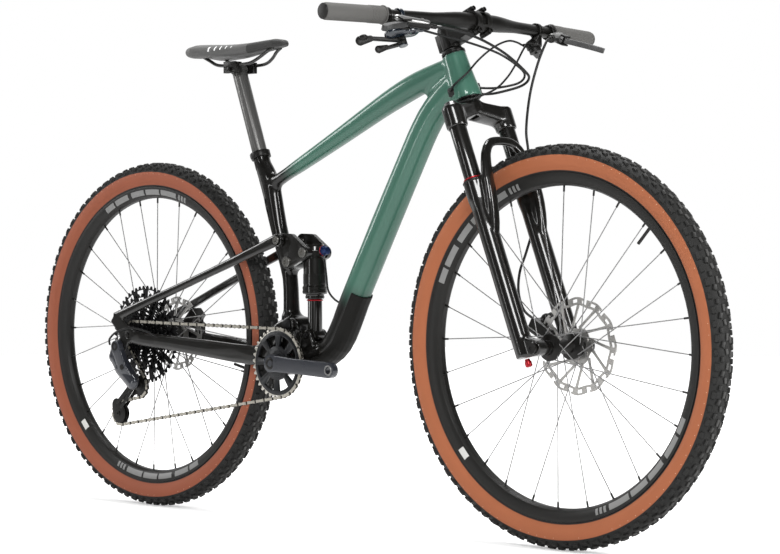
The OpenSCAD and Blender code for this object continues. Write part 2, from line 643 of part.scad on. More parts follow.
// Arch stations are [ahead, y, up, half depth, half width]: broad where it leaves the leg, thin across the top
arch = [[18, -67, 212, 5, 10], [28, -67, 248, 10, 12.5], [35, -66.5, 284, 12.5, 13], [40, -65, 316, 11.5,
    12.5],
    [44, -62, 344, 8.5, 11.5], [46, -52, 378, 7, 10], [47, -36, 398, 6.3, 9], [47, -18, 404, 6, 8.5], [47,
        0, 405, 6, 8.5]];
arch_half = curve(arch, 2);
arch_stations = concat(arch_half, [for (i = [len(arch_half) - 2 : -1 : 0])
    let (s = arch_half[i]) [s[0], -s[1], s[2], s[3], s[4]]]);
arch_path = [for (s = arch_stations) [s[0], s[1], s[2]]];
function arch_ring(i) = let (p = arch_path[i], t = tangent(arch_path, i), side = unit([1, 0,
    0] - t * t[0]), up = cross(side, t))
    [for (k = [0 : 15]) p + arch_stations[i][3] * signed_pow(cos(22.5 * k), 0.7) * side
        + arch_stations[i][4] * signed_pow(sin(22.5 * k), 0.7) * up];
module fork_lowers() color("#101112") on_steering() difference() {
    union() {
        both_sides() {
            translate([leg_ahead, leg_y, -6]) cylinder(h = leg_top + 2, r = leg_r);
            translate([leg_ahead, leg_y, 280]) cylinder(h = 20, r1 = leg_r, r2 = seal_r);
            translate([leg_ahead, leg_y, 300]) cylinder(h = leg_top - 300, r = seal_r);
            hull() {
                translate([leg_ahead + 2, leg_y, -6]) cylinder(h = 34, r = 14, $fn = 32);
                translate([fork_offset, hub_half_front + 0.3, 0]) rotate([-90, 0, 0]) cylinder(h = 25,
                    r = 14, $fn = 32);
            }
        }
        loft([for (i = [0 : len(arch_path) - 1]) arch_ring(i)]);
    }
    both_sides() translate([leg_ahead, leg_y, 130]) cylinder(h = 300, r = stanchion_r + run_gap);
    translate([fork_offset, 0, 0]) rotate([90, 0, 0]) cylinder(h = 300, r = 7.55, center = true);
}

module front_axle() color("#1c1d1e") on_steering() translate([fork_offset, 0, 0]) rotate([90, 0, 0]) {
    cylinder(h = 164.4, r = 7.5, center = true);
    translate([0, 0, 82.2]) cylinder(h = 3, r = 10);
}

caliper_front = [-22, 56];
module front_caliper() color("#18191a") on_steering() difference() {
    union() {
        translate([caliper_front[0], front_rotor_y, caliper_front[1]]) rotate([0, -40, 0]) cube([26,
            30, 50], center = true);
        for (z = [38, 80]) translate([-10, 64, z]) cube([22, 10, 10], center = true);
        translate([-20, 61, 59]) cube([10, 8, 56], center = true);
    }
    translate([fork_offset, front_rotor_y, 0]) rotate([90, 0, 0]) cylinder(h = 3.6,
        r = front_rotor_r + 3, center = true);
    both_sides() translate([leg_ahead, leg_y, -6]) cylinder(h = leg_top, r = leg_r + 0.1);
}

module rebound_knob() color("#c8202c") on_steering() translate([leg_ahead, -leg_y, -25]) {
    cylinder(h = 14.6, r = 5);
    translate([0, 0, 1]) cylinder(h = 9, r = 6.5);
}

// Wheels
casing_r = tyre_w / 2;
casing_at = tyre_r - casing_r - 3.5;
casing_wall = 2.2;
tread_r = 24;
tread_half = 23;
module tyre_section() {
    difference() {
        union() {
            translate([casing_at, 0]) circle(r = casing_r, $fn = 96);
            intersection() {
                translate([tyre_r - tread_r, 0]) circle(r = tread_r, $fn = 96);
                translate([casing_at + 6, -tread_half]) square([40, 2 * tread_half]);
            }
        }
        translate([casing_at, 0]) circle(r = casing_r - casing_wall, $fn = 96);
        translate([0, -40]) square([rim_r + 0.2, 80]);
    }
    for (s = [-1, 1]) translate([rim_r - 6, s * 12.8 - 1.2]) square([6.4, 2.4]);
}
module wheel_tyre(p) cross_turned(p) tyre_section();

module rim_section() difference() {
    w = rim_w / 2;
    polygon([[rim_r - 24, -5], [rim_r - 24, 5], [rim_r - 20, w - 5.5], [rim_r - 12, w - 1.5], [rim_r,
        w], [rim_r, w - 2.8],
        [rim_r - 7, w - 2.8], [rim_r - 7, 2.8 - w], [rim_r, 2.8 - w], [rim_r, -w], [rim_r - 12,
            1.5 - w], [rim_r - 20, 5.5 - w]]);
    polygon([[rim_r - 21, -4], [rim_r - 21, 4], [rim_r - 17, w - 7], [rim_r - 10, w - 4], [rim_r - 10,
        4 - w], [rim_r - 17, 7 - w]]);
}
front_valve = 43;
rear_valve = 103;
module wheel_rim(p, valve_angle) {
    cross_turned(p) rim_section();
    translate([p[0], 0, p[1]]) rotate([0, valve_angle, 0]) translate([0, 0,
        rim_r - 62]) cylinder(h = 39, r = 3);
}

// Spokes go from each flange to the rim in crossed pairs, heads in and heads out
lace = 68;
function spoke_end(p, r, angle, y) = [p[0] + r * cos(angle), y, p[1] + r * sin(angle)];
module wheel_spokes(p, left_y, right_y, flange_r) for (i = [0 : spoke_count - 1]) {
    angle = 360 * i / spoke_count - 1.5;
    left = i % 2 == 0;
    out = floor(i / 2) % 2 == 0 ? 1 : -1;
    hub_y = left ? left_y + 2.3 * out : right_y - 2.3 * out;
    a = spoke_end(p, flange_r, angle + out * lace, hub_y);
    b = spoke_end(p, rim_r - 23, angle, left ? 2.5 : -2.5);
    rod(a, b, 1);
    rod(b + 12 * unit(a - b), b, 1.9);
}

module hub_shell(p, stations, bore) cross_turned(p)
    polygon(concat([[bore, stations[0][0]]], [for (s = stations) [s[1], s[0]]],
        [[bore, stations[len(stations) - 1][0]]]));

// Rotor: a drilled brake band on twelve slanted arms
// one arm of a rotor as [radius, angle] corners, from the carrier out to the braking ring
function rotor_arm(r) = [[30, -6], [r - 14, 13], [r - 14, 16.5], [30, 6], [29, 15]];
module rotor(p, r, y) translate([p[0], y + rotor_thickness / 2, p[1]]) rotate([90, 0, 0]) difference() {
    union() {
        difference() {
            cylinder(h = rotor_thickness, r = r, $fn = 96);
            translate([0, 0, -1]) cylinder(h = 4, r = r - 16, $fn = 96);
        }
        linear_extrude(rotor_thickness) difference() {
            polygon([for (k = [0 : 11], c = rotor_arm(r)) [c[0] * cos(c[1] + 30 * k), c[0] * sin(c[1] + 30 * k)]]);
            for (k = [0 : 5]) rotate(60 * k + 30) translate([24.5, 0]) circle(r = 2.2);
        }
    }
    translate([0, 0, -1]) cylinder(h = 4, r = 20.5);
    for (k = [0 : 17]) rotate(20 * k) translate([r - 8, 0, -1]) cylinder(h = 4, r = 3);
}

front_flanges = [27, -34];
rear_flanges = [33, -20];
module front_tyre() color("#8c5238") wheel_tyre(front_axle_at);
module front_rim() color("#191a1b") wheel_rim(front_axle_at, front_valve);
module front_spokes() color("#b9b9b9") wheel_spokes(front_axle_at, front_flanges[0], front_flanges[1],
    21.5);
module front_hub() color("#141516") hub_shell(front_axle_at, [[-54.8, 10], [-48, 10], [-48, 13], [-39,
    13.5], [-37, 24.5], [-31, 24.5],
    [-29, 12], [22, 12], [24, 24.5], [30, 24.5], [32, 16], [38, 20], [43.4, 20], [47, 20], [47, 10],
        [54.8, 10]], 7.5 + run_gap);
module front_rotor() color("#a7a49d") rotor(front_axle_at, front_rotor_r, front_rotor_y);
module rear_tyre() color("#8c5238") wheel_tyre(rear_axle_at);
module rear_rim() color("#191a1b") wheel_rim(rear_axle_at, rear_valve);
module rear_spokes() color("#b9b9b9") wheel_spokes(rear_axle_at, rear_flanges[0], rear_flanges[1], 24);
module rear_hub() color("#141516") hub_shell(rear_axle_at, [[-25.5, 15], [-23.5, 27.5], [-17, 27.5],
    [-14, 14.5], [27, 13.5], [30, 27.5],
    [36, 27.5], [38, 16], [52, 16], [55, 20], [61, 20], [61, 12], [73.8, 12]], 6 + run_gap);
module rear_rotor() color("#a7a49d") rotor(rear_axle_at, rear_rotor_r, rear_rotor_y);

// Rear end; side-tube stations are [x, z, half width, half height, y]
chainstay = [[-562, 368, 4.2, 14, -78.7], [-540, 364, 4.2, 14, -78.6], [-526, 361, 5, 14, -75.5],
    [-508, 359, 6.2, 14, -72],
    [-484, 357, 6.5, 14.5, -69.5], [-450, 354, 7.3, 15, -62.5],
    [-330, 343, 8, 18, -53], [-215, 333, 6.5, 20, -42.5], [-186, 341, 6, 20, -40.5], [-164, 366, 6, 17,
        -37], [-142, 389, 5.4, 15, -30.9],
    [-118, 399, 5.6, 14, -30.3]];
seatstay = [[-606, 404, 4.3, 11, -78.7], [-562, 419, 4.8, 10, -77.5], [-500, 441, 6.3, 9, -71], [-450,
    458.5, 6.5, 8.5, -64],
    [-330, 501, 6.5, 8.5, -52], [-200, 547, 5.5, 10.5, -43], [-140, 568, 5, 13, -40.6]];
bridge = [[-183, 322], [-168, 322], [-165, 360], [-180, 372]];
module swingarm() color("#121314") difference() {
    union() {
        welded() both_sides() {
            loft(plane_tube(curve(chainstay, tube_steps), 4, 16));
            loft(plane_tube(curve(seatstay, tube_steps), 3, 16));
        }
        cross_plate(-39, 39) polygon(bridge);
        both_sides() {
            cross_rod(main_pivot, 15, -36, -24.3);
            cross_rod(stay_eye, 13.5, -45.6, -35.6);
            cross_rod(rear_axle_at, 19, -83, -hub_half_rear - 0.3);
            cross_plate(-83, -hub_half_rear - 0.3) polygon([[-616, 396], [-602, 414], [-552, 382],
                [-546, 356],
                [-574, 352]]);
        }
        cross_plate(-83, -77) polygon([[-574, 372], [-560, 346], [-576, 330], [-596, 330], [-600, 350]]);
    }
    cross_rod(rear_axle_at, 6 + run_gap, -90, 90);
    cross_rod(main_pivot, 7.5 + run_gap, -50, 50);
    cross_rod(stay_eye, 9.5, -50, 50);
}

module rear_axle() color("#1c1d1e") {
    cross_rod(rear_axle_at, 6, -84.5, 83);
    cross_rod(rear_axle_at, 10, 83.2, 87);
}

caliper_rear = [-506, 402];
module rear_caliper() color("#18191a") difference() {
    union() {
        translate([caliper_rear[0], rear_rotor_y, caliper_rear[1]]) rotate([0, 45, 0]) cube([24, 30,
            40], center = true);
        translate([-498, 68, 380]) cube([26, 9, 26], center = true);
    }
    cross_rod(rear_axle_at, rear_rotor_r + 3, rear_rotor_y - 1.8, rear_rotor_y + 1.8);
}

hanger = [-586, 343];
module derailleur_body() color("#3a3d44") {
    hull() {
        cross_rod(hanger, 12.5, -97, -84);
        cross_rod(cage_pivot + [-16, 30], 12, -95, -82);
    }
    hull() {
        cross_rod(cage_pivot + [-16, 30], 12, -95, -80);
        cross_rod(cage_pivot, 14, -88, -72);
    }
    cross_rod(hanger, 5, -84, -78);
}

cage_out = [-68.6, -66.6];
cage_in = [-57, -55];
module derailleur_cage() color("#2c2e33") {
    for (y = [cage_out, cage_in]) cross_plate(y[0], y[1]) hull() {
        translate(guide_at) circle(r = 15, $fn = 32);
        translate(tension_at) circle(r = 13, $fn = 32);
    }
    for (p = [guide_at, tension_at]) cross_rod(p, 2.5, cage_out[0], cage_in[1]);
    cross_rod(cage_pivot, 8, -71.7, cage_out[1]);
}
module pulley(p) difference() {
    union() {
        cross_rod(p, pulley_r + 2.2, cog_y - 0.85, cog_y + 0.85);
        cross_rod(p, 17, cog_y - 3, cog_y + 3);
    }
    cross_rod(p, 2.5 + run_gap, cog_y - 10, cog_y + 10);
}
module guide_pulley() color("#202124") pulley(guide_at);
module tension_pulley() color("#202124") pulley(tension_at);

function sprocket_r(n) = pitch / 2 / sin(180 / n) + 3.2;
module cassette() color("#1d1e20") difference() {
    union() {
        for (i = [0 : len(cog_sizes) - 1]) cross_rod(rear_axle_at, sprocket_r(cog_sizes[i]),
            cog_first_y + cog_step * i - 0.8,
            cog_first_y + cog_step * i + 0.8);
        for (i = [1 : len(cog_sizes) - 1]) cross_rod(rear_axle_at, sprocket_r(cog_sizes[i - 1]) - 12,
            cog_first_y + cog_step * (i - 1), cog_first_y + cog_step * i);
        cross_rod(rear_axle_at, 15, -73.8, -26);
    }
    cross_rod(rear_axle_at, 6 + run_gap, -80, -20);
}

// Cranks
module on_crank() translate([bb[0], 0, bb[1]]) rotate([0, crank_angle, 0]) children();
module crank_arm() {
    rotate([90, 0, 0]) cylinder(h = 74, r = 17.5);
    hull() {
        translate([0, -60, 0]) rotate([90, 0, 0]) cylinder(h = 13, r = 16.5, $fn = 32);
        translate([60, -64, 0]) rotate([90, 0, 0]) cylinder(h = 13, r = 14.5, $fn = 32);
    }
    hull() {
        translate([60, -64, 0]) rotate([90, 0, 0]) cylinder(h = 13, r = 14.5, $fn = 32);
        translate([crank_length, -71, 0]) rotate([90, 0, 0]) cylinder(h = 13, r = 15, $fn = 32);
    }
}
module pedal_eye() difference() {
    intersection() {
        crank_arm();
        translate([-40, -100, -40]) cube([300, 44, 80]);
    }
    translate([crank_length, -60, 0]) rotate([90, 0, 0]) cylinder(h = 40, r = 7.14);
}
// Arm with the socket that takes the end of the spindle
module crank_end() difference() {
    pedal_eye();
    rotate([90, 0, 0]) cylinder(h = 59.5, r = 14.6);
}
module drive_crank_arm() color("#34373e") on_crank() {
    crank_end();
    rotate([90, 0, 0]) cylinder(h = 118, r = 14.5, center = true);
}
module left_crank_arm() color("#34373e") on_crank() rotate([0, 0, 180]) crank_end();

// Sprocket outline: root and tip points of each tooth
function teeth_outline(n, r) = [for (k = [0 : n - 1], c = [[-0.36, -3.4], [-0.13, 3], [0.13, 3], [0.36,
    -3.4]])
    let (a = 360 * (k + c[0]) / n) [(r + c[1]) * cos(a), (r + c[1]) * sin(a)]];
function window(r0, r1, a0, a1) = concat([for (k = [0 : 6]) r1 * [cos(a0 + (a1 - a0) * k / 6),
    sin(a0 + (a1 - a0) * k / 6)]],
    [for (k = [6 : -1 : 0]) r0 * [cos(a0 + (a1 - a0) * k / 6), sin(a0 + (a1 - a0) * k / 6)]]);
module chainring() color("#6d6c69") on_crank() translate([0, -chain_line + 1, 0]) rotate([90, 0,
    0]) difference() {
    union() {
        linear_extrude(2) polygon(teeth_outline(ring_teeth, ring_r));
        translate([0, 0, -1.5]) cylinder(h = 5, r = ring_r - 8);
        translate([0, 0, -3]) cylinder(h = 7.8, r = 27);
    }
    translate([0, 0, -5]) cylinder(h = 12, r = 14.6);
    for (k = [0 : 7]) translate([0, 0, -5]) linear_extrude(12) polygon(window(34, ring_r - 13,
        45 * k + 8, 45 * k + 37));
}

// Rocker, shock
module rocker_link() color("#101112") difference() {
    union() {
        both_sides() cross_plate(-34.5, -25) hull() {
            translate(stay_eye) circle(r = 14, $fn = 32);
            translate(rocker_pivot) circle(r = 15, $fn = 32);
            translate(shock_top) circle(r = 13, $fn = 32);
            translate(stay_eye + [28, 0]) circle(r = 13, $fn = 32);
        }
        cross_rod(rocker_pivot + [-6, 31], 9, -26, 26);
    }
    cross_rod(rocker_pivot, 6.02, -40, 40);
    cross_rod(stay_eye, 5.02, -40, 40);
    cross_rod(shock_top, 5.02, -40, 40);
}
module rocker_bolts() color("#3b3d40") {
    cross_rod(rocker_pivot, 6, -34.5, 34.5);
    both_sides() {
        cross_rod(rocker_pivot, 9, -37.5, -34.5);
        cross_rod(stay_eye, 5, -46.2, -25);
        cross_rod(stay_eye, 8.5, -49, -46.2);
        cross_rod(shock_top, 5, -34.5, -25.2);
        cross_rod(shock_top, 8, -37, -34.5);
    }
}

can_low = shock_foot[1] + 73;
module shock_can() color("#151617") {
    translate([shock_top[0], 0, 0]) rotate_extrude() difference() {
        polygon([[0, can_low], [18.5, can_low], [18.5, can_low + 8], [24.3, can_low + 10], [24.3, can_low + 24],
            [23, can_low + 26], [23, shock_top[1] - 12], [20, shock_top[1] - 8], [20, shock_top[1] + 12], [17,
                shock_top[1] + 17], [0, shock_top[1] + 17]]);
        polygon([[-1, can_low - 1], [14.5 + run_gap, can_low - 1], [14.5 + run_gap, shock_top[1] - 6],
            [-1, shock_top[1] - 6]]);
    }
    cross_rod(shock_top, 11, -24.6, 24.6);
    translate([shock_top[0], 0, shock_top[1] + 4]) rotate([0, 90, 0]) cylinder(h = 24, r = 9);
}
module shock_dial() color("#20345c") translate([shock_top[0] + 24.3, 0, shock_top[1] + 4]) rotate([0,
    90, 0]) {
    cylinder(h = 5, r = 9.5);
    translate([0, 0, 5]) cylinder(h = 8, r1 = 8.5, r2 = 7.5);
}

front_triangle();
headset_cups();
down_tube_guard();
bottom_bracket();
seat_clamp();
main_pivot_axle();
shock_shaft();
chain();
control_cables();
shock_cable();
seatpost();
saddle_clamp();
saddle_cover();
saddle_rails();
fork_crown();
stanchions();
stem();
stem_faceplate();
headset_spacers();
handlebar();
grips();
brake_masters();
shifter_body();
remote_body();
fork_cables();
brake_lever_right();
brake_lever_left();
shift_paddle_main();
shift_paddle_release();
lockout_lever();
fork_lowers();
front_axle();
front_caliper();
rebound_knob();
front_tyre();
front_rim();
front_spokes();
front_hub();
front_rotor();
swingarm();
rear_axle();
rear_caliper();
derailleur_body();
rear_shift_loop();
rear_tyre();
rear_rim();
rear_spokes();
rear_hub();
rear_rotor();
cassette();
drive_crank_arm();
left_crank_arm();
chainring();
rocker_link();
rocker_bolts();
shock_can();
shock_dial();
derailleur_cage();
guide_pulley();
tension_pulley();
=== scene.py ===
"""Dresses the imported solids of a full-suspension mountain bike with its visible pieces and finishes."""

import json
import math
from functools import cached_property

import bpy
from bpy.props import FloatProperty, FloatVectorProperty, IntProperty, PointerProperty
from mathutils import Matrix, Vector


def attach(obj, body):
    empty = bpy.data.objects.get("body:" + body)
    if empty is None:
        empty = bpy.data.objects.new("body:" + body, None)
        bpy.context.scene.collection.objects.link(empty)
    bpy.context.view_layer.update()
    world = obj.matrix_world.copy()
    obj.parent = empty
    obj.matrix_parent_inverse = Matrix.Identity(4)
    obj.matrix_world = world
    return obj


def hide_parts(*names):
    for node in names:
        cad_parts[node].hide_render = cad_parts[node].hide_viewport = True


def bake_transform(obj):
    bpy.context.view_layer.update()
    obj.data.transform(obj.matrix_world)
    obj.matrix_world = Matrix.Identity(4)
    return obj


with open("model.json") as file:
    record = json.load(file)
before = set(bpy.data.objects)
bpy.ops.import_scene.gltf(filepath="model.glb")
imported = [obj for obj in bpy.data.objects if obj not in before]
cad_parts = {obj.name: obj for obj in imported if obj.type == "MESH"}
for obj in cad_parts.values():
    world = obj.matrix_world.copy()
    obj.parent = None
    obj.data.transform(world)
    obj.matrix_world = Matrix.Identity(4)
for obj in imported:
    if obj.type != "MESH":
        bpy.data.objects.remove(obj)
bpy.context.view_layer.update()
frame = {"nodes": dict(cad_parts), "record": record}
NODE_BODY = {n: b for b, nodes in frame["record"]["behaviour"]["bodies"].items() for n in nodes}

bl_info = {
    "name": "Mountain Bike Dresser",
    "version": (1, 0, 0),
    "blender": (4, 5, 0),
    "location": "View3D > Sidebar > Bike",
    "description": "Builds the visible pieces of a full-suspension mountain bike around its solids",
    "category": "Object",
}

MM = 0.001
ACROSS = Vector((0, 1, 0))
UPRIGHT = (math.pi / 2, 0, 0)  # turns a flat primitive to face across the bike
CORE = 0.01  # radius of an outline that closes on its axis

# Places in metres
FRONT_AXLE = Vector((0.562, 0, 0.368))
REAR_AXLE = Vector((-0.562, 0, 0.368))
BB = Vector((-0.130, 0, 0.320))
STEER_FOOT = Vector((0.52106, 0, 0.35187))
STEER_UP = Vector((-0.36650, 0, 0.93042))
STEER_AHEAD = Vector((0.93042, 0, 0.36650))

# Sizes in millimetres
CRANK_LENGTH, CRANK_TILT = 175, math.radians(2.7)
BAR_AHEAD, BAR_UP, BAR_BEND = 76, 634.5, 50  # the bar's middle, and where its sweep starts
BAR_SWEEP, BAR_RISE = 0.1017, 0.0239  # back and up, for each millimetre beyond the bend
SHIFTER_AT, LEVER_AT, GRIP_AT = 198, 224, 235  # along the bar from its middle
LEG_AHEAD, LEG_ACROSS = 14, 69
TYRE_RING, TYRE_SECTION = 338.5, 26  # radius of the section's centre line, and of the section
RING_Y, CHAIN_Y = -52, -61.8
GUIDE, TENSION = (-545, 260), (-607, 199)  # x and z of the two pulleys
RING_TEETH, COG_TEETH, PULLEY_TEETH = 34, 14, 12
COG_THICK, TOOTH_DEPTH = 1.9, 3.4  # the depth is below the pitch circle


# Selecting and shaping


def mm(x, y, z):
    """A place given in millimetres."""
    return Vector((x, y, z)) * MM


def alone(obj=None):
    """Leaves object mode on, with only this object selected."""
    if bpy.context.mode != "OBJECT":
        bpy.ops.object.mode_set(mode="OBJECT")
    bpy.ops.object.select_all(action="DESELECT")
    if obj is not None:
        obj.select_set(True)
        bpy.context.view_layer.objects.active = obj
    return obj


def added(name, primitive, **settings):
    """A new primitive under its name, with its place moved into its mesh."""
    alone()
    primitive(**settings)
    obj = bpy.context.active_object
    obj.name = obj.data.name = name
    bpy.ops.object.transform_apply(location=True, rotation=True, scale=True)
    return obj


def edit(obj):
    """Opens edit mode on one object, with all of it selected."""
    alone(obj)
    bpy.ops.object.mode_set(mode="EDIT")
    bpy.ops.mesh.select_mode(type="VERT")
    bpy.ops.mesh.select_all(action="SELECT")


def choose(obj, wanted, kind="FACE"):
    """Selects the faces, edges or points whose middle passes the test, and stays in edit mode."""
    alone(obj)
    mesh = obj.data
    for group in (mesh.vertices, mesh.edges, mesh.polygons):
        group.foreach_set("select", [False] * len(group))
    if kind == "FACE":
        for face in mesh.polygons:
            face.select = bool(wanted(face.center, face.normal))
    elif kind == "EDGE":
        for edge in mesh.edges:
            a, b = (mesh.vertices[i].co for i in edge.vertices)
            edge.select = bool(wanted((a + b) / 2, b - a))
    else:
        for point in mesh.vertices:
            point.select = bool(wanted(point.co, point.normal))
    bpy.ops.object.mode_set(mode="EDIT")
    bpy.ops.mesh.select_mode(type=kind)


def done():
    """Goes back to object mode."""
    bpy.ops.object.mode_set(mode="OBJECT")


def outward(obj, weld=False):
    """Turns all faces outwards, after welding points that coincide if asked."""
    edit(obj)
    if weld:
        bpy.ops.mesh.remove_doubles(threshold=1e-6)
    bpy.ops.mesh.normals_make_consistent(inside=False)
    done()
    return obj


def modify(obj, kind, **settings):
    """Adds a modifier, sets it and applies it."""
    alone(obj)
    modifier = obj.modifiers.new(kind.title(), kind)
    for key, value in settings.items():
        setattr(modifier, key, value)
    bpy.ops.object.modifier_apply(modifier=modifier.name)
    return obj


def remeshed(obj, voxel):
    """The object's skin, made again from small cells."""
    return modify(obj, "REMESH", mode="VOXEL", voxel_size=voxel * MM, use_smooth_shade=True)


def smooth(obj, degrees):
    """Shades smooth, with edges sharper than the angle kept."""
    alone(obj)
    bpy.ops.object.shade_smooth_by_angle(angle=math.radians(degrees))
    return obj


def joined(name, objs):
    """Several objects as one."""
    alone()
    for obj in objs:
        obj.select_set(True)
    bpy.context.view_layer.objects.active = objs[0]
    if len(objs) > 1:
        bpy.ops.object.join()
    obj = bpy.context.active_object
    obj.name = obj.data.name = name
    return alone(obj)


def copied(obj, matrix):
    """A copy with its own mesh, put in place by a matrix."""
    twin = obj.copy()
    twin.data = obj.data.copy()
    twin.data.transform(matrix)
    bpy.context.scene.collection.objects.link(twin)
    return twin


def copies_round(name, obj, centre, count):
    """A ring of copies of one shape round an axle, joined."""
    ring = []
    for k in range(count):
        turn = Matrix.Rotation(math.tau * k / count, 4, "Y")
        ring.append(copied(obj, Matrix.Translation(centre) @ turn @ Matrix.Translation(-centre)))
    bpy.data.objects.remove(obj)
    return joined(name, ring)


def cad_copy(name, node):
    """A copy of a CAD node, with flat faces made whole again."""
    obj = bpy.data.objects.new(name, frame["nodes"][node].data.copy())
    bpy.context.scene.collection.objects.link(obj)
    obj.data.name = name
    obj.data.materials.clear()
    edit(obj)
    bpy.ops.mesh.customdata_custom_splitnormals_clear()
    bpy.ops.mesh.remove_doubles(threshold=2e-6)
    bpy.ops.mesh.dissolve_limited(angle_limit=math.radians(0.6))
    done()
    return obj


def eased(name, node, bevel=0.6, segments=2):
    """A CAD node's shape with its sharp edges broken by a small round."""
    obj = modify(cad_copy(name, node), "BEVEL", width=bevel * MM, segments=segments, limit_method="ANGLE",
                 angle_limit=math.radians(32), use_clamp_overlap=True, miter_outer="MITER_ARC")
    return smooth(obj, 38)


def flowing(name, node, extra=(), voxel=2.0, rounds=6, fillet=0.0):
    """A CAD node and extra forms run together as one moulded skin; inner corners get a round of the fillet's radius."""
    obj = remeshed(joined(name, [cad_copy(name, node), *extra]), voxel)
    for offset in (fillet, -fillet) if fillet else ():
        modify(obj, "DISPLACE", strength=offset * MM, mid_level=0.0)
        remeshed(obj, voxel)
    modify(obj, "SMOOTH", factor=0.5, iterations=rounds)
    alone(obj)
    bpy.ops.object.shade_smooth()
    return obj


def standing(place, axis):
    """Stands what points up z on a place, along an axis."""
    turn = Vector((0, 0, 1)).rotation_difference(Vector(axis).normalized())
    return Matrix.Translation(place) @ turn.to_matrix().to_4x4()


def framed(place, *ways):
    """A frame at a place, with its three axes given."""
    return Matrix.Translation(place) @ Matrix(ways).transposed().to_4x4()


def bored(obj, place, axis, radius, depth):
    """Cuts a round hole into a skin, from a place on its face."""
    drill = added("drill", bpy.ops.mesh.primitive_cylinder_add, vertices=24, radius=radius * MM, depth=2 * depth * MM)
    drill.data.transform(standing(place, axis))
    modify(obj, "BOOLEAN", operation="DIFFERENCE", object=drill, solver="EXACT")
    bpy.data.objects.remove(drill)


def turned(name, outline, place, axis=(0, 0, 1), steps=48):
    """A closed outline of (radius, height) points in millimetres, spun round an axis that starts at a place."""
    obj = added(name, bpy.ops.mesh.primitive_plane_add, size=0.001)
    edit(obj)
    bpy.ops.mesh.merge(type="CENTER")
    bpy.ops.transform.translate(value=(outline[0][0] * MM, 0, outline[0][1] * MM))
    for (r0, h0), (r1, h1) in zip(outline, outline[1:]):
        bpy.ops.mesh.extrude_region_move(TRANSFORM_OT_translate={"value": ((r1 - r0) * MM, 0, (h1 - h0) * MM)})
    bpy.ops.mesh.select_all(action="DESELECT")
    done()
    for i in (0, len(outline) - 1):
        obj.data.vertices[i].select = True
    bpy.ops.object.mode_set(mode="EDIT")
    bpy.ops.mesh.edge_face_add()
    bpy.ops.mesh.select_all(action="SELECT")
    bpy.ops.mesh.spin(steps=steps, angle=math.tau, center=(0, 0, 0), axis=(0, 0, 1))
    outward(obj, weld=True)
    obj.data.transform(standing(place, axis))
    return smooth(obj, 35)


def band(r0, r1, h0, h1, ease=0.3):
    """The outline of a plain ring between two radii and two heights, with its outer edges broken."""
    return ((r0, h0), (r1 - ease, h0), (r1, h0 + ease), (r1, h1 - ease), (r1 - ease, h1), (r0, h1))


def fork_place(ahead, y, up):
    """A place in the steering parts: ahead of the steering axis, across, and up it, in millimetres."""
    return STEER_FOOT + (STEER_AHEAD * ahead + ACROSS * y + STEER_UP * up) * MM


def bar_frame(y, side):
    """The bar at a distance from its middle on one side: x ahead of it, y above it, z outwards."""
    out = Vector((-BAR_SWEEP, side, BAR_RISE)).normalized()
    ahead = (Vector((1, 0, 0)) - out * out.x).normalized()
    up = out.cross(ahead) * -side
    ways = [STEER_AHEAD * v.x + ACROSS * v.y + STEER_UP * v.z for v in (ahead, up, out)]
    beyond = y - BAR_BEND
    return framed(fork_place(BAR_AHEAD - beyond * BAR_SWEEP, side * y, BAR_UP + beyond * BAR_RISE), *ways)


def slab(name, size, bevel, where):
    """A box with rounded edges, sized in millimetres and put in place by a matrix."""
    obj = added(name, bpy.ops.mesh.primitive_cube_add, size=1)
    obj.data.transform(Matrix.Diagonal((*(s * MM for s in size), 1)))
    edit(obj)
    bpy.ops.mesh.bevel(offset=bevel * MM, segments=3)
    done()
    obj.data.transform(where)
    return smooth(obj, 50)


def paddle(name, start, end, r0, r1, thick, flat):
    """A limb between two places that tapers from one radius to the other in millimetres, flattened along thick."""
    obj = added(name, bpy.ops.mesh.primitive_uv_sphere_add, segments=20, ring_count=12, radius=1)
    reach = end - start
    choose(obj, lambda co, way: co.z > 0.01, "VERT")
    bpy.ops.transform.resize(value=(r1 * MM, r1 * MM * flat, r1 * MM), center_override=(0, 0, 0))
    bpy.ops.transform.translate(value=(0, 0, reach.length))
    done()
    choose(obj, lambda co, way: co.z < 0.01, "VERT")
    bpy.ops.transform.resize(value=(r0 * MM, r0 * MM * flat, r0 * MM), center_override=(0, 0, 0))
    done()
    z = reach.normalized()
    x = thick.cross(z).normalized()
    obj.data.transform(framed(start, x, z.cross(x), z))
    return smooth(outward(obj), 60)


def socket_bolt(name, place, axis, radius, height, socket_r):
    """A cap screw's head in millimetres with its socket, standing on a place and pointing along an axis."""
    radius, height, socket_r = radius * MM, height * MM, socket_r * MM
    head = added(name, bpy.ops.mesh.primitive_cylinder_add, vertices=18, radius=radius, depth=height)
    choose(head, lambda mid, way: way.z > 0.9)
    bpy.ops.mesh.inset(thickness=radius - socket_r)
    bpy.ops.mesh.extrude_region_move(TRANSFORM_OT_translate={"value": (0, 0, -0.6 * height)})
    done()
    choose(head, lambda mid, way: abs(mid.z - height / 2) < 1e-6 and mid.xy.length > 0.9 * radius, "EDGE")
    bpy.ops.mesh.bevel(offset=0.15 * height, segments=1)
    done()
    head.data.transform(standing(place, axis))
    return smooth(head, 40)


def bearing(arm):
    """How far round its axle a place lies."""
    return math.atan2(arm.z, arm.x)


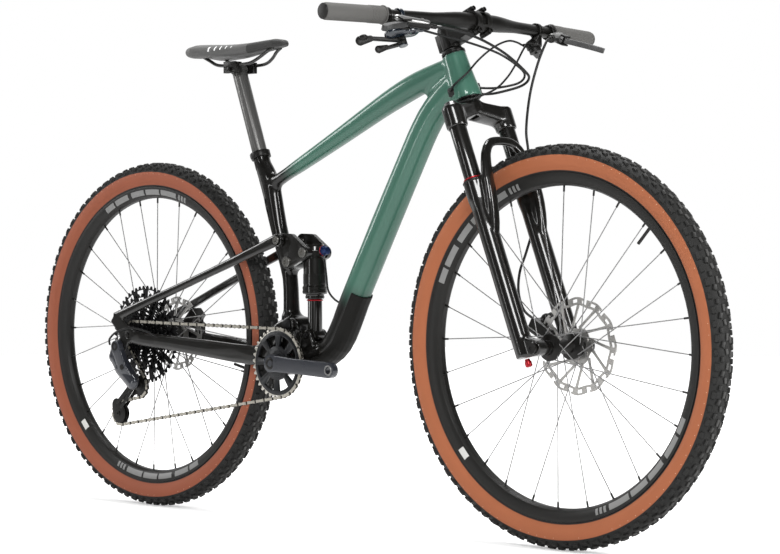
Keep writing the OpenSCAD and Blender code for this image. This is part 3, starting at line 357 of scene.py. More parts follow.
def flat_ring(name, centre, rims, count, wave, gone):
    """Flat face bands between circles, from the outside in. Both tests take a radius and a bearing: wave says how far a
    point moves out, as a share of its radius, and gone picks the faces that are cut away."""
    ring = added(name, bpy.ops.mesh.primitive_circle_add, vertices=count, radius=rims[0], location=centre,
                 rotation=UPRIGHT)
    edit(ring)
    for outer, inner in zip(rims, rims[1:]):
        bpy.ops.mesh.extrude_edges_move()
        bpy.ops.transform.resize(value=(inner / outer,) * 3, center_override=centre)
    done()
    for point in ring.data.vertices:
        arm = point.co - centre
        point.co = centre + arm * (1 + wave(arm.length, bearing(arm)))
    choose(ring, lambda mid, way: gone((mid - centre).length, bearing(mid - centre)))
    bpy.ops.mesh.delete(type="FACE")
    done()
    return ring


# Handing pieces over


def dressed(obj, slot, finish, *nodes):
    """Gives a finished piece its finish, in place of its CAD nodes; the slot is not used."""
    obj.data.materials.clear()
    obj.data.materials.append(FINISHES[finish].material)
    if nodes:
        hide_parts(*nodes)
    return obj


def settle(obj, body, slot, finish, *nodes):
    """Dresses a piece that rides on one body."""
    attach(dressed(obj, slot, finish, *nodes), body)
    return obj


def ready(node, how, slot, finish, *ease):
    """Eases a CAD node's edges and settles it; how is what its name adds to the node's."""
    return settle(eased(f"{node}_{how}", node, *ease), NODE_BODY[node], slot, finish, node)


def moulded(node, how, slot, finish, **form):
    """Moulds a CAD node as a flowing skin and settles it; how is what its name adds to the node's."""
    return settle(flowing(f"{node}_{how}", node, **form), NODE_BODY[node], slot, finish, node)


# Shader values


def shader_math(operation, flipped=False):
    """A method that works on its own value first, or last when flipped."""
    def work(self, *others):
        values = (*others, self) if flipped else (self, *others)
        return self.finish.node("ShaderNodeMath", {"operation": operation}, dict(enumerate(values)))
    return work


class Wire:
    """A shader value that is added, multiplied and compared like a number."""

    def __init__(self, finish, socket):
        self.finish = finish
        self.socket = socket

    __add__ = __radd__ = shader_math("ADD")
    __sub__ = shader_math("SUBTRACT")
    __rsub__ = shader_math("SUBTRACT", flipped=True)
    __mul__ = __rmul__ = shader_math("MULTIPLY")
    __truediv__ = shader_math("DIVIDE")
    __gt__ = shader_math("GREATER_THAN")
    __lt__ = shader_math("LESS_THAN")
    __abs__ = shader_math("ABSOLUTE")
    root = shader_math("SQRT")
    turn = shader_math("ARCTAN2")
    most = shader_math("MAXIMUM")
    fract = shader_math("FRACT")

    def fade(self, low, high):
        """0 below low, 1 above high, and an even step between."""
        return self.finish.node("ShaderNodeMapRange", {"interpolation_type": "SMOOTHSTEP"},
                                {"Value": self, "From Min": low, "From Max": high})


def total(values):
    """Shader values added up."""
    first, *rest = values
    return sum(rest, first)


class Finish:
    """One procedural material, read on Object coordinates."""

    def __init__(self, name, **fixed):
        self.material = bpy.data.materials.new(name)
        self.material.use_nodes = True
        self.tree = self.material.node_tree
        self.skin = self.tree.nodes["Principled BSDF"]
        self.paint(**fixed)

    def node(self, kind, settings=None, sockets=None, output=0):
        node = self.tree.nodes.new(kind)
        for key, value in (settings or {}).items():
            setattr(node, key, value)
        for key, value in (sockets or {}).items():
            self.feed(node.inputs[key], value)
        return Wire(self, node.outputs[output])

    def feed(self, socket, value):
        if isinstance(value, Wire):
            self.tree.links.new(value.socket, socket)
        elif socket.type == "RGBA" and len(value) == 3:
            socket.default_value = (*value, 1)
        else:
            socket.default_value = value

    def rays(self, *kinds):
        """How a point is being looked at, as 0 or 1 for each kind of ray."""
        node = self.tree.nodes.new("ShaderNodeLightPath")
        return [Wire(self, node.outputs[f"Is {kind} Ray"]) for kind in kinds]

    def paint(self, **sockets):
        for key, value in sockets.items():
            self.feed(self.skin.inputs[key.replace("_", " ")], value)
        return self

    @cached_property
    def place(self):
        return self.node("ShaderNodeTexCoord", output="Object")

    @cached_property
    def axes(self):
        split = self.node("ShaderNodeSeparateXYZ", None, {0: self.place}).socket.node
        return [Wire(self, out) for out in split.outputs]

    def noise(self, scale, detail=3.0, stretch=None):
        where = self.place
        if stretch:
            where = self.node("ShaderNodeMapping", None, {"Vector": where, "Scale": stretch})
        return self.node("ShaderNodeTexNoise", None, {"Vector": where, "Scale": scale, "Detail": detail})

    def cells(self, scale):
        return self.node("ShaderNodeTexVoronoi", None, {"Vector": self.place, "Scale": scale})

    def mix(self, share, a, b):
        return self.node("ShaderNodeMix", {"data_type": "RGBA"}, {0: share, 6: a, 7: b}, 2)

    def bump(self, height, strength, distance):
        return self.paint(Normal=self.node("ShaderNodeBump", None,
                                           {"Height": height, "Strength": strength, "Distance": distance}))

    def from_axle(self, centre):
        """How far ahead of an axle and above it a point is."""
        x, _, z = self.axes
        return x - centre.x, z - centre.z

    def radius_from(self, centre):
        """How far a point is from an axle that runs along y."""
        dx, dz = self.from_axle(centre)
        return (dx * dx + dz * dz).root()

    def turn_about(self, centre):
        """How far round an axle a point is, in radians."""
        dx, dz = self.from_axle(centre)
        return dz.turn(dx)


class Studio(Finish):
    """The light that comes from all round."""

    def __init__(self, tree):
        self.tree = tree
        self.glow = tree.nodes["Background"]


FINISHES = {}
BLACK = (0.0042, 0.0039, 0.0032)

# Key, name, colour, roughness, metallic, grain, the grain's share, bump strength, and what else is set
SATINS = (
    ("black_alloy", "black_anodised_alloy", (0.008, 0.0076, 0.0068), 0.36, 0.2, 1400, 0.5, 0.05,
     {"Specular_IOR_Level": 0.3}),
    ("post_alloy", "satin_post_alloy", (0.105, 0.104, 0.100), 0.34, 0.45, 900, 0.5, 0.05, {"stretch": (1, 1, 0.05)}),
    ("lever_alloy", "lever_blade_alloy", (0.05, 0.05, 0.05), 0.28, 0.7, 900, 0.4, 0.05, {}),
    ("grey_alloy", "grey_lever_alloy", (0.30, 0.30, 0.295), 0.30, 0.8, 900, 0.4, 0.05, {}),
    ("crank_alloy", "slate_grey_alloy", (0.034, 0.037, 0.046), 0.30, 0.35, 1200, 0.35, 0.05,
     {"Coat_Weight": 0.7, "Coat_Roughness": 0.10}),
    ("rotor_steel", "ground_rotor_steel", (0.56, 0.55, 0.53), 0.34, 0.85, 500, 0.5, 0.05, {}),
    ("chain_steel", "nickel_chain_steel", (0.62, 0.59, 0.52), 0.32, 0.9, 700, 0.6, 0.05, {}),
    ("dark_steel", "black_oxide_steel", (0.010, 0.010, 0.0105), 0.34, 0.5, 900, 0.5, 0.05,
     {"Specular_IOR_Level": 0.3}),
    ("bolt_steel", "dark_bolt_steel", (0.24, 0.235, 0.22), 0.28, 0.9, 900, 0.4, 0.05, {}),
    ("inner_link", "dark_link_steel", (0.055, 0.052, 0.045), 0.36, 1.0, 700, 0.6, 0.05, {}),
    ("cable", "cable_housing", (0.007, 0.007, 0.007), 0.42, 0.0, 900, 0.3, 0.05, {"Specular_IOR_Level": 0.3}),
    ("black_plastic", "moulded_black_plastic", (0.007, 0.0067, 0.006), 0.45, 0.0, 2600, 0.4, 0.15,
     {"Specular_IOR_Level": 0.3}),
    ("blue_black", "gloss_blue_black", (0.012, 0.018, 0.028), 0.2, 0.2, 900, 0.3, 0.05,
     {"Coat_Weight": 1.0, "Coat_Roughness": 0.05}),
    ("red_alloy", "red_anodised_alloy", (0.42, 0.012, 0.020), 0.32, 0.55, 900, 0.3, 0.05, {}),
    ("blue_alloy", "blue_anodised_alloy", (0.010, 0.028, 0.110), 0.3, 0.6, 900, 0.3, 0.05, {}),
    ("guard", "moulded_guard_rubber", (0.007, 0.0067, 0.0058), 0.5, 0.0, 3000, 0.5, 0.2,
     {"Specular_IOR_Level": 0.15}),
)

# The rim's grey patches, as shares of half a turn
RIM_PATCHES = ((0.0, 0.006), (0.010, 0.016), (0.020, 0.026), (0.034, 0.086), (0.092, 0.138), (0.144, 0.188),
               (0.200, 0.246), (0.252, 0.283))
DOT_COUNT, DOT_GAP, DOT_RADIUS, DOT_RING = 110, 0.0196, 0.0007, 0.3440  # pale dots round the tyre's wall

# The saddle's pale marks: x in metres, half width in millimetres, z in metres, half height in millimetres
SADDLE_MARKS = ((-0.3340, 1.6, 0.9610, 5.0), (-0.3210, 1.3, 0.9620, 4.4), (-0.3095, 1.1, 0.9630, 3.8),
                (-0.2985, 0.9, 0.9638, 3.1), (-0.2875, 0.7, 0.9645, 2.2))


def darker(colour, share):
    return tuple(c * share for c in colour)


def gloss(key, name, **fixed):
    """A glossy paint with a faint ripple."""
    coat = FINISHES[key] = Finish(name, Coat_Roughness=0.03, **fixed)
    return coat.bump(coat.noise(160, 2.0), 0.012, 0.0003)


def satin(key, name, colour, rough, metal, grain, spread, strength, stretch=None, **fixed):
    """A satin surface with a fine grain and a little wear."""
    finish = FINISHES[key] = Finish(name, Metallic=metal, **fixed)
    fine = finish.noise(grain, 3.0, stretch)
    wear = finish.noise(22, 4.0)
    finish.paint(Base_Color=finish.mix(fine * spread + wear * 0.25, colour, darker(colour, 0.62)),
                 Roughness=rough + 0.12 * (wear - 0.5) + 0.10 * (fine - 0.5))
    finish.bump(fine, strength, 0.0002)


def wheel_finishes(end, centre, start, wall):
    """The spokes, the rim and the tyre of one wheel; start is where its rim patches begin."""
    spoke = FINISHES[end + "_spokes"] = Finish(end + "_spoke_steel", Roughness=0.34)
    nipple = spoke.radius_from(centre).fade(0.2806, 0.2810)
    steel = spoke.mix(spoke.noise(900, 2.0), (0.30, 0.30, 0.30), (0.20, 0.20, 0.20))
    spoke.paint(Base_Color=spoke.mix(nipple, steel, BLACK), Metallic=0.8 - 0.6 * nipple)

    rim = FINISHES[end + "_rim"] = Finish(end + "_rim_carbon", Specular_IOR_Level=0.3)
    round_it = rim.turn_about(centre) / math.tau + 0.5
    place = (round_it * 2 + start).fract()
    patches = total((place > low) * (place < high) for low, high in RIM_PATCHES)
    depth = rim.radius_from(centre)
    face = depth.fade(0.2985, 0.2990) * depth.fade(0.3105, 0.3100)
    weave = rim.noise(900, 3.0)
    dark = rim.mix(weave, (0.006, 0.0056, 0.0048), (0.010, 0.0095, 0.0085))
    marked = rim.mix(patches * face, dark, (0.20, 0.20, 0.197))
    plate = abs(round_it - 0.117) < 0.006
    rim.paint(Base_Color=rim.mix(plate * face, marked, (0.55, 0.55, 0.53)), Roughness=0.36 + 0.14 * weave)
    rim.bump(weave, 0.05, 0.0002)

    tyre = FINISHES[end + "_tyre"] = Finish(end + "_tyre_rubber", Specular_IOR_Level=0.25)
    radius = tyre.radius_from(centre)
    grain = tyre.noise(1500, 4.0)
    patchy = tyre.noise(16, 4.0)
    tan = tyre.mix(patchy * 0.5 + grain * 0.4, wall, darker(wall, 0.7))
    tan = tyre.mix(radius.fade(0.3205, 0.3190), tan, (0.02, 0.018, 0.017))
    along = ((tyre.turn_about(centre) * (DOT_COUNT / math.tau)).fract() - 0.5) * (DOT_GAP / DOT_RADIUS)
    rise = (radius - DOT_RING) / DOT_RADIUS
    tan = tyre.mix((along * along + rise * rise).fade(1.2, 0.5) * (patchy > 0.47), tan, (0.66, 0.42, 0.28))
    worn = grain * 0.6 + patchy * 0.4
    floor = tyre.mix(worn, (0.010, 0.010, 0.0095), (0.018, 0.0178, 0.017))
    # Painted highlight: the outermost band of the tread, the tops of the crown knobs, is painted a lighter grey than
    # the same black rubber below it, as if lit.
    knob = tyre.mix(worn, (0.040, 0.040, 0.039), (0.075, 0.074, 0.072))
    tread = tyre.mix(radius.fade(0.3640, 0.3665), floor, knob)
    tyre.paint(Base_Color=tyre.mix(radius.fade(0.3468, 0.3480), tan, tread), Roughness=0.55 + 0.2 * grain)
    tyre.bump(grain, 0.25, 0.0003)


def build_finishes(look):
    """Every finish of the bike, made once."""
    coat = gloss("frame_paint", "green_to_black_paint", Roughness=0.35, Specular_IOR_Level=0.15, Coat_Weight=0.6)
    x, _, z = coat.axes
    green = x.fade(-0.166, -0.100) * (0.494 * x + 0.870 * z).fade(0.385, 0.455)
    flake = coat.noise(2600, 2.0) * 0.12 + coat.noise(9, 2.0) * 0.25
    tone = coat.mix(flake, look.paint, darker(look.paint, 0.72))
    coat.paint(Base_Color=coat.mix(green, BLACK, tone), Metallic=green * 0.10)

    coat = gloss("black_paint", "gloss_black_paint", Roughness=0.3, Specular_IOR_Level=0.25, Coat_Weight=0.8)
    coat.paint(Base_Color=coat.mix(coat.noise(1800, 2.0), BLACK, (0.0065, 0.0061, 0.0052)))

    for *row, others in SATINS:
        satin(*row, **others)
    wheel_finishes("front", FRONT_AXLE, 0.406, look.front_wall)
    wheel_finishes("rear", REAR_AXLE, 0.62, look.rear_wall)

    ring = FINISHES["chainring"] = Finish("chainring_steel", Roughness=0.34)
    grain = ring.noise(900, 2.0)
    teeth = ring.radius_from(BB).fade(0.0640, 0.0650)
    black = ring.mix(grain, (0.009, 0.010, 0.012), (0.006, 0.007, 0.008))
    bare = ring.mix(grain, (0.56, 0.54, 0.49), (0.40, 0.38, 0.34))
    ring.paint(Base_Color=ring.mix(teeth, black, bare), Metallic=0.4 + 0.6 * teeth)

    rubber = FINISHES["rubber"] = Finish("grip_rubber", Specular_IOR_Level=0.35)
    fine = rubber.noise(2400, 3.0)
    rubber.paint(Base_Color=rubber.mix(fine, (0.066, 0.064, 0.061), (0.116, 0.114, 0.108)),
                 Roughness=0.68 + 0.15 * fine)
    rubber.bump(fine, 0.3, 0.0003)

    cover = FINISHES["cover"] = Finish("saddle_cover", Sheen_Weight=0.12, Sheen_Roughness=0.5,
                                       Specular_IOR_Level=0.35)
    x, y, z = cover.axes
    pores = cover.cells(900)
    fold = cover.noise(60, 4.0)
    worn = pores * 0.7 + fold * 0.3
    back = cover.mix(worn, (0.060, 0.060, 0.0585), (0.100, 0.099, 0.097))
    nose = cover.mix(worn, (0.015, 0.0148, 0.014), (0.024, 0.0238, 0.023))
    hide = cover.mix((x + 0.12 * abs(y)).fade(-0.2490, -0.2485), back, nose)
    marks = total((abs(x - place) < wide * MM) * (abs(z - mid) < high * MM) for place, wide, mid, high in SADDLE_MARKS)
    hide = cover.mix(marks * (abs(y) > 0.020), hide, (0.75, 0.75, 0.75))
    cover.paint(Base_Color=hide, Roughness=0.5 + 0.15 * fold)
    cover.bump(pores, 0.3, 0.0004)


# What a user would change


class BikeLook(bpy.types.PropertyGroup):
    """Colours of the bike."""

    paint: FloatVectorProperty(name="Frame paint", description="Green of the front triangle", subtype="COLOR",
                               size=3, min=0, max=1, default=(0.052, 0.140, 0.102))
    front_wall: FloatVectorProperty(name="Front sidewall", description="Tan of the front tyre's wall", subtype="COLOR",
                                    size=3, min=0, max=1, default=(0.385, 0.122, 0.052))
    rear_wall: FloatVectorProperty(name="Rear sidewall", description="Tan of the rear tyre's wall", subtype="COLOR",
                                   size=3, min=0, max=1, default=(0.305, 0.088, 0.045))


class BikeSizes(bpy.types.PropertyGroup):
    """Sizes of the pieces that are modelled here."""

    tread_pitches: IntProperty(name="Tread pitches", description="Repeats of the tread pattern round a tyre",
                               min=30, max=90, default=46)
    knob_height: FloatProperty(name="Knob height", description="Height of the tread knobs", subtype="DISTANCE",
                               min=0.001, max=0.006, default=0.0034)
    chain_pitch: FloatProperty(name="Chain pitch", description="Length of one link", subtype="DISTANCE",
                               min=0.010, max=0.015, default=0.0127)


def sizes():
    return bpy.context.scene.bike_sizes


def pitch_radius(teeth):
    """The radius at which the chain runs on a wheel with so many teeth."""
    return sizes().chain_pitch / 2 / math.sin(math.pi / teeth)


class Piece:
    """What the bike's operators share."""

    bl_options = {"REGISTER"}

    def execute(self, context):
        self.build()
        return {"FINISHED"}


# Stage


class BIKE_OT_stage(Piece, bpy.types.Operator):
    """Sets the camera, the soft light and the pale floor, and mixes the finishes"""

    bl_idname = "bike.stage"
    bl_label = "Stage"

    # Name, place, height it is aimed at, power, width and height
    LAMPS = (("key", (2.5, -2.6, 2.5), 0.5, 80, 1.1, 1.1), ("top", (-0.3, 0.3, 3.4), 0.5, 80, 1.3, 1.3),
             ("rear", (-3.0, -1.6, 1.6), 0.5, 30, 0.8, 1.4), ("front_strip", (3.4, 0.40, 1.3), 0.7, 70, 0.45, 2.2),
             ("side_strip", (-0.9, -3.5, 1.0), 0.6, 14, 0.18, 2.0))

    def camera(self):
        alone()
        bpy.ops.object.camera_add(location=(3.2023, -3.2138, 0.527),
                                  rotation=[math.radians(turn) for turn in (89.55, 0.12, 43.77)])
        camera = bpy.context.scene.camera = bpy.context.active_object
        camera.data.sensor_width = 36
        camera.data.lens = 105.8
        camera.data.shift_x = 0.004
        camera.data.shift_y = 0.0006
        camera.data.clip_end = 60

    def floor(self):
        floor = added("floor", bpy.ops.mesh.primitive_plane_add, size=14)
        choose(floor, lambda mid, way: mid.length > 1, "EDGE")
        bpy.ops.mesh.bevel(offset=0.4, segments=6)
        done()
        pale = Finish("pale_floor", Roughness=0.9, Specular_IOR_Level=0.1, Emission_Strength=1.0)
        seen, glossy = pale.rays("Camera", "Glossy")
        x, y, _ = pale.axes
        far = (x * x + y * y).root().fade(0.9, 2.3)
        glow = seen * (0.40 + 0.60 * far) + glossy * 0.10
        pale.paint(Base_Color=pale.mix(pale.noise(3, 2.0), (0.86, 0.86, 0.86), (0.84, 0.84, 0.84)),
                   Emission_Color=pale.mix(glow, (0, 0, 0), (1, 1, 1)))
        floor.data.materials.append(pale.material)

    def studio(self):
        world = bpy.context.scene.world = bpy.data.worlds.new("studio")
        world.use_nodes = True
        sky = Studio(world.node_tree)
        direction = sky.node("ShaderNodeTexCoord", output="Generated")
        behind = sky.node("ShaderNodeVectorMath", {"operation": "DOT_PRODUCT"},
                          {0: direction, 1: (-0.69, 0.72, 0.0)}, 1)
        mirrored = 0.04 + 0.96 * behind.fade(0.35, 0.85)
        seen, glossy, clear = sky.rays("Camera", "Glossy", "Transmission")
        straight = seen.most(clear)
        plain = 1 - straight.most(glossy)
        sky.feed(sky.glow.inputs["Strength"], straight + (glossy - glossy * straight) * mirrored + plain * 0.45)
        sky.feed(sky.glow.inputs["Color"], (1, 1, 1))

    def lamps(self):
        for name, place, aim, power, wide, tall in self.LAMPS:
            alone()
            bpy.ops.object.light_add(type="AREA", location=place)
            lamp = bpy.context.active_object
            lamp.name = name + "_softbox"
            lamp.data.energy = power
            lamp.data.shape = "RECTANGLE"
            lamp.data.size = wide
            lamp.data.size_y = tall
            lamp.rotation_euler = (Vector((0, 0, aim)) - Vector(place)).to_track_quat("-Z", "Y").to_euler()

    def build(self):
        self.camera()
        self.floor()
        self.studio()
        self.lamps()
        bpy.context.scene.view_settings.view_transform = "Standard"
        build_finishes(bpy.context.scene.bike_look)


# Cables


def through(points, steps=8):
    """A smooth line in metres through a route's points."""
    points = [mm(*p) for p in points]
    line = []
    for i in range(len(points) - 1):
        a, b, c, d = (points[min(max(j, 0), len(points) - 1)] for j in (i - 1, i, i + 1, i + 2))
        for k in range(steps):
            t = k / steps
            line.append(0.5 * (2 * b + (c - a) * t + (2 * a - 5 * b + 4 * c - d) * t * t
                               + (3 * b - a - 3 * c + d) * t ** 3))
    return line + [points[-1]]


def tube(name, line, radius):
    """A round tube along a line, as a mesh."""
    curve = bpy.data.curves.new(name, "CURVE")
    curve.dimensions = "3D"
    spline = curve.splines.new("POLY")
    spline.points.add(len(line) - 1)
    for point, place in zip(spline.points, line):
        point.co = (*place, 1)
    curve.bevel_depth = radius * MM
    curve.bevel_resolution = 4
    curve.use_fill_caps = True
    obj = bpy.data.objects.new(name, curve)
    bpy.context.scene.collection.objects.link(obj)
    alone(obj)
    bpy.ops.object.convert(target="MESH")
    return smooth(outward(bpy.context.active_object, weld=True), 50)


HEAD_BLEND = (fork_place(0, 0, 535), fork_place(0, 0, 620))

# Name, radius, CAD node, bodies, where a blend between two bodies starts and ends, and the route in millimetres
CORDS = (
    ("shift_housing", 2.2, "control_cables", ("frame", "steering"), HEAD_BLEND,
     ((364.6, -155, 943.5), (372, -108, 936), (382, -49, 927), (396.1, 19, 910), (412, 58.9, 885.7),
      (408.9, 77.4, 871.3), (391.9, 78.5, 858.5), (366.2, 53.9, 850.4), (352, 35, 849), (335.5, 26.5, 850.6))),
    ("rear_brake_hose", 2.5, "control_cables", ("frame", "steering"), HEAD_BLEND,
     ((401, -158, 946.6), (415, -122, 942), (424, -67, 930), (424.6, 2.1, 907.9), (424, 58.8, 879.3),
      (414.9, 82.6, 866.2), (393.7, 84.2, 853.2), (365.7, 54.2, 841.3), (352, 37, 838), (338, 27.6, 838.6))),
    ("shock_remote_housing", 2.0, "control_cables", ("frame", "steering"), HEAD_BLEND,
     ((334.7, 156.8, 939.3), (332, 144, 944), (332, 120, 945), (334, 86, 935), (338, 50, 918), (345, 14, 898),
      (349, -16, 876), (336, -34, 856), (322, -33, 845), (316, -22, 840))),
    ("fork_remote_housing", 2.0, "fork_cables", ("steering",), (),
     ((348.9, 159, 944), (352, 140, 928), (362, 105, 896), (368.1, 74.5, 870.5), (369.5, 40, 847.2),
      (365.8, -1, 831.4), (360, -32.6, 822.2), (364, -60, 817))),
    ("front_brake_hose", 2.5, "fork_cables", ("steering", "lower_fork"), (fork_place(0, 0, 460), fork_place(0, 0, 140)),
     ((401, 158, 946.6), (409, 139, 937), (407, 117, 895), (401, 102, 838), (396, 97, 774), (402, 95, 735),
      (411, 94, 678), (417, 92, 630), (419, 88, 585), (409, 81, 540), (399, 74, 503), (401, 68, 465),
      (420, 61, 432), (457, 48, 415))),
    ("shock_housing", 2.0, "shock_cable", ("frame", "shock"), (mm(4, 0, 440), mm(-32, -18, 522)),
     ((-40, -16, 532), (-28, -20, 522), (-23, -20, 495), (-22, -16, 466), (-14, -6, 448), (4, 0, 438))),
    ("rear_shift_housing", 2.2, "rear_shift_loop", ("rear_end",), (),
     ((-470, -70, 362), (-500, -80, 376), (-535, -92, 383), (-570, -101, 376), (-594, -103, 360), (-600, -98, 347))),
)


class BIKE_OT_cables(Piece, bpy.types.Operator):
    """Lays the brake hoses and the control cables"""

    bl_idname = "bike.cables"
    bl_label = "Cables"

    def build(self):
        for name, radius, node, bodies, ends, route in CORDS:
            line = through(route)
            cord = dressed(tube(name, line, radius), "cable", "cable", node)
            if ends:
                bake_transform(cord)
            else:
                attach(cord, bodies[0])


# Frame


class BIKE_OT_front_triangle(Piece, bpy.types.Operator):
    """Moulds the front triangle with its fading paint, and its guard"""

    bl_idname = "bike.front_triangle"
    bl_label = "Front Triangle"

    def build(self):
        skin = flowing("front_triangle_skin", "front_triangle", voxel=2.0, rounds=12, fillet=9.0)
        for mount in frame["record"]["mounts"]:
            if mount["name"].startswith("bottle_boss"):
                axis = Vector(mount["axis"])
                bored(skin, Vector(mount["pos_m"]) + axis * 0.005, axis, 2.5, 12)
        settle(smooth(skin, 60), "frame", "frame_paint", "frame_paint", "front_triangle")
        moulded("down_tube_guard", "skin", "black_plastic", "guard", voxel=1.2, rounds=3)
        for node in ("headset_cups", "bottom_bracket", "seat_clamp"):
            ready(node, "turned", "black_alloy", "black_alloy")
        ready("main_pivot_axle", "turned", "black_alloy", "dark_steel")
        tilt = Matrix.Rotation(math.radians(-21), 4, "Y")
        ports = [slab("port", size, 2.4, Matrix.Translation(mm(*place)) @ tilt) for size, place in (
            ((15, 10, 17), (317.5, -24.5, 840.5)), ((18, 10, 26), (333, 27, 845)))]
        settle(joined("cable_ports", ports), "frame", "black_plastic", "black_plastic")


class BIKE_OT_rear_triangle(Piece, bpy.types.Operator):
    """Moulds the swingarm and the rocker link, with its bolts and the rear axle"""

    bl_idname = "bike.rear_triangle"
    bl_label = "Rear Triangle"

    # x and z, radius of the shank and of the head, and where the shank starts and ends
    ROCKER_BOLTS = ((-122, 523, 6.0, 10.5, 0.0, 34.6), (-140, 566, 5.0, 8.5, 25.0, 46.3),
                    (-76, 541, 5.0, 10.0, 25.2, 34.6))

    def build(self):
        moulded("swingarm", "skin", "black_paint", "black_paint", voxel=1.2, rounds=1, fillet=2.0)
        settle(eased("rocker_forged", "rocker_link", 3.5, 4), "rocker", "black_paint", "black_paint", "rocker_link")
        bolts = []
        for x, z, shank, head, near, far in self.ROCKER_BOLTS:
            for side in (-1, 1):
                bolts.append(turned("shank", band(CORE, shank, near, far), mm(x, 0, z), ACROSS * side, 24))
                bolts.append(socket_bolt("head", mm(x, side * (far + 1.4), z), ACROSS * side, head, 2.8, 4.2))
        settle(joined("rocker_bolts_turned", bolts), "rocker", "dark_steel", "bolt_steel", "rocker_bolts")
        ready("rear_axle", "turned", "black_alloy", "black_alloy")


class BIKE_OT_shock(Piece, bpy.types.Operator):
    """Turns the shock's can, shaft and dial"""

    bl_idname = "bike.shock"
    bl_label = "Shock"

    SLEEVES = (((23.0, 478), (23.5, 478.6), (23.5, 498), (23.0, 498.6)),
               ((24.2, 460.5), (25.0, 461.2), (25.0, 464), (24.4, 464.6), (24.4, 468.4), (25.0, 469), (25.0, 472),
                (24.2, 472.6)),
               ((18.4, 449.6), (19.2, 450.2), (19.2, 454), (18.4, 454.6)),
               ((20.0, 534), (20.8, 534.6), (20.8, 545), (20.0, 545.6)))
    DIAL_RIBS = 10

    def build(self):
        foot = mm(-76, 0, 0)
        can = [eased("can", "shock_can", 0.8), *(turned("sleeve", outline, foot, steps=64) for outline in self.SLEEVES),
               turned("cap", band(CORE, 4.0, 0, 9), mm(-76, -20, 550), (0.2, -1, 0.5), 20)]
        settle(joined("shock_can_turned", can), "shock", "black_alloy", "black_paint", "shock_can")
        ring = turned("shock_travel_ring", band(14.6, 16.6, 444.6, 447.4, 0.9), foot)
        settle(ring, "shock", "red_alloy", "red_alloy")
        ready("shock_shaft", "turned", "black_alloy", "black_paint")
        knob = [eased("knob", "shock_dial", 0.8)]
        hub = mm(-51.7, 0, 545)
        for k in range(self.DIAL_RIBS):
            turn = Matrix.Rotation(math.tau * k / self.DIAL_RIBS, 4, "X")
            knob.append(slab("grip", (4.4, 1.6, 2.2), 0.5,
                             Matrix.Translation(hub + mm(2.5, 0, 0)) @ turn @ Matrix.Translation(mm(0, 0, 9.6))))
        settle(joined("shock_dial_turned", knob), "dial", "blue_alloy", "blue_alloy", "shock_dial")
        ring = turned("shock_dial_ring", band(6.0, 10.2, -1.6, -0.2), hub, (1, 0, 0))
        settle(ring, "shock", "red_alloy", "red_alloy")


class BIKE_OT_fork(Piece, bpy.types.Operator):
    """Casts the fork's lower legs, its crown and its stanchions"""

    bl_idname = "bike.fork"
    bl_label = "Fork"

    WIPER = ((16.2, 333), (20.8, 333), (21.2, 334), (21.2, 336), (19.5, 338), (16.2, 338.4))

    def build(self):
        webs = [paddle("web", fork_place(16, 67 * side, 296), fork_place(37, 65 * side, 320), 22, 13, ACROSS, 0.5)
                for side in (-1, 1)]
        moulded("fork_lowers", "cast", "black_paint", "black_paint", extra=webs, voxel=1.5, rounds=6, fillet=7.0)
        moulded("fork_crown", "forged", "black_paint", "black_paint", voxel=1.5, rounds=40, fillet=8.0)
        ready("stanchions", "ground", "black_alloy", "black_paint")
        axle = [eased("axle", "front_axle"),
                socket_bolt("key", FRONT_AXLE + mm(0, -86.2, 0), -ACROSS, 9.8, 2.4, 4.0)]
        settle(joined("front_axle_turned", axle), "lower_fork", "black_alloy", "black_alloy", "front_axle")
        right, left = (fork_place(LEG_AHEAD, LEG_ACROSS * side, 0) for side in (-1, 1))
        wipers = [turned("wiper", self.WIPER, leg, STEER_UP) for leg in (right, left)]
        settle(joined("leg_wipers", wipers), "lower_fork", "black_plastic", "black_plastic")
        ring = turned("travel_ring", band(16.1, 18.4, 338.8, 341.7, 1.0), right, STEER_UP)
        settle(ring, "lower_fork", "red_alloy", "red_alloy")
        ready("rebound_knob", "turned", "red_alloy", "red_alloy", 0.8)


# Cockpit


class BIKE_OT_cockpit(Piece, bpy.types.Operator):
    """Makes the stem, the bar, its spacers and the grips"""

    bl_idname = "bike.cockpit"
    bl_label = "Cockpit"

    GRIP_RIBS = 9
    END_CAP = ((CORE, 138), (14.0, 138), (14.6, 138.6), (13.0, 140.4), (9.0, 141.2), (CORE, 141.4))

    def build(self):
        for node, bevel in (("stem", 2.0), ("headset_spacers", 0.5), ("handlebar", 0.4)):
            ready(node, "finished", "black_alloy", "black_alloy", bevel, 3)
        plate = [eased("plate", "stem_faceplate", 1.2)]
        for y in (-15, 15):
            for z in (-22, 22):
                plate.append(socket_bolt("bolt", fork_place(BAR_AHEAD + 13, y, BAR_UP + z), STEER_AHEAD, 4.6, 3.6, 2.2))
        settle(joined("stem_faceplate_finished", plate), "steering", "black_alloy", "black_alloy", "stem_faceplate")
        grips = [eased("grip", "grips", 1.6, 3)]
        caps = []
        for side in (-1, 1):
            at = bar_frame(GRIP_AT, side)
            out = at.to_3x3() @ Vector((0, 0, 1))
            for start in (6 + 3.4 * k for k in range(self.GRIP_RIBS)):
                grips.append(turned("rib", band(15.0, 16.3, start, start + 1.8, 0.5), at.translation, out, 40))
            grips.append(turned("flange", band(12.0, 17.6, -0.5, 2.6, 0.9), at.translation, out, 40))
            caps.append(turned("end", self.END_CAP, at.translation, out, 40))
        settle(joined("grips_moulded", grips), "steering", "rubber", "rubber", "grips")
        settle(joined("bar_end_caps", caps), "steering", "black_plastic", "black_plastic")


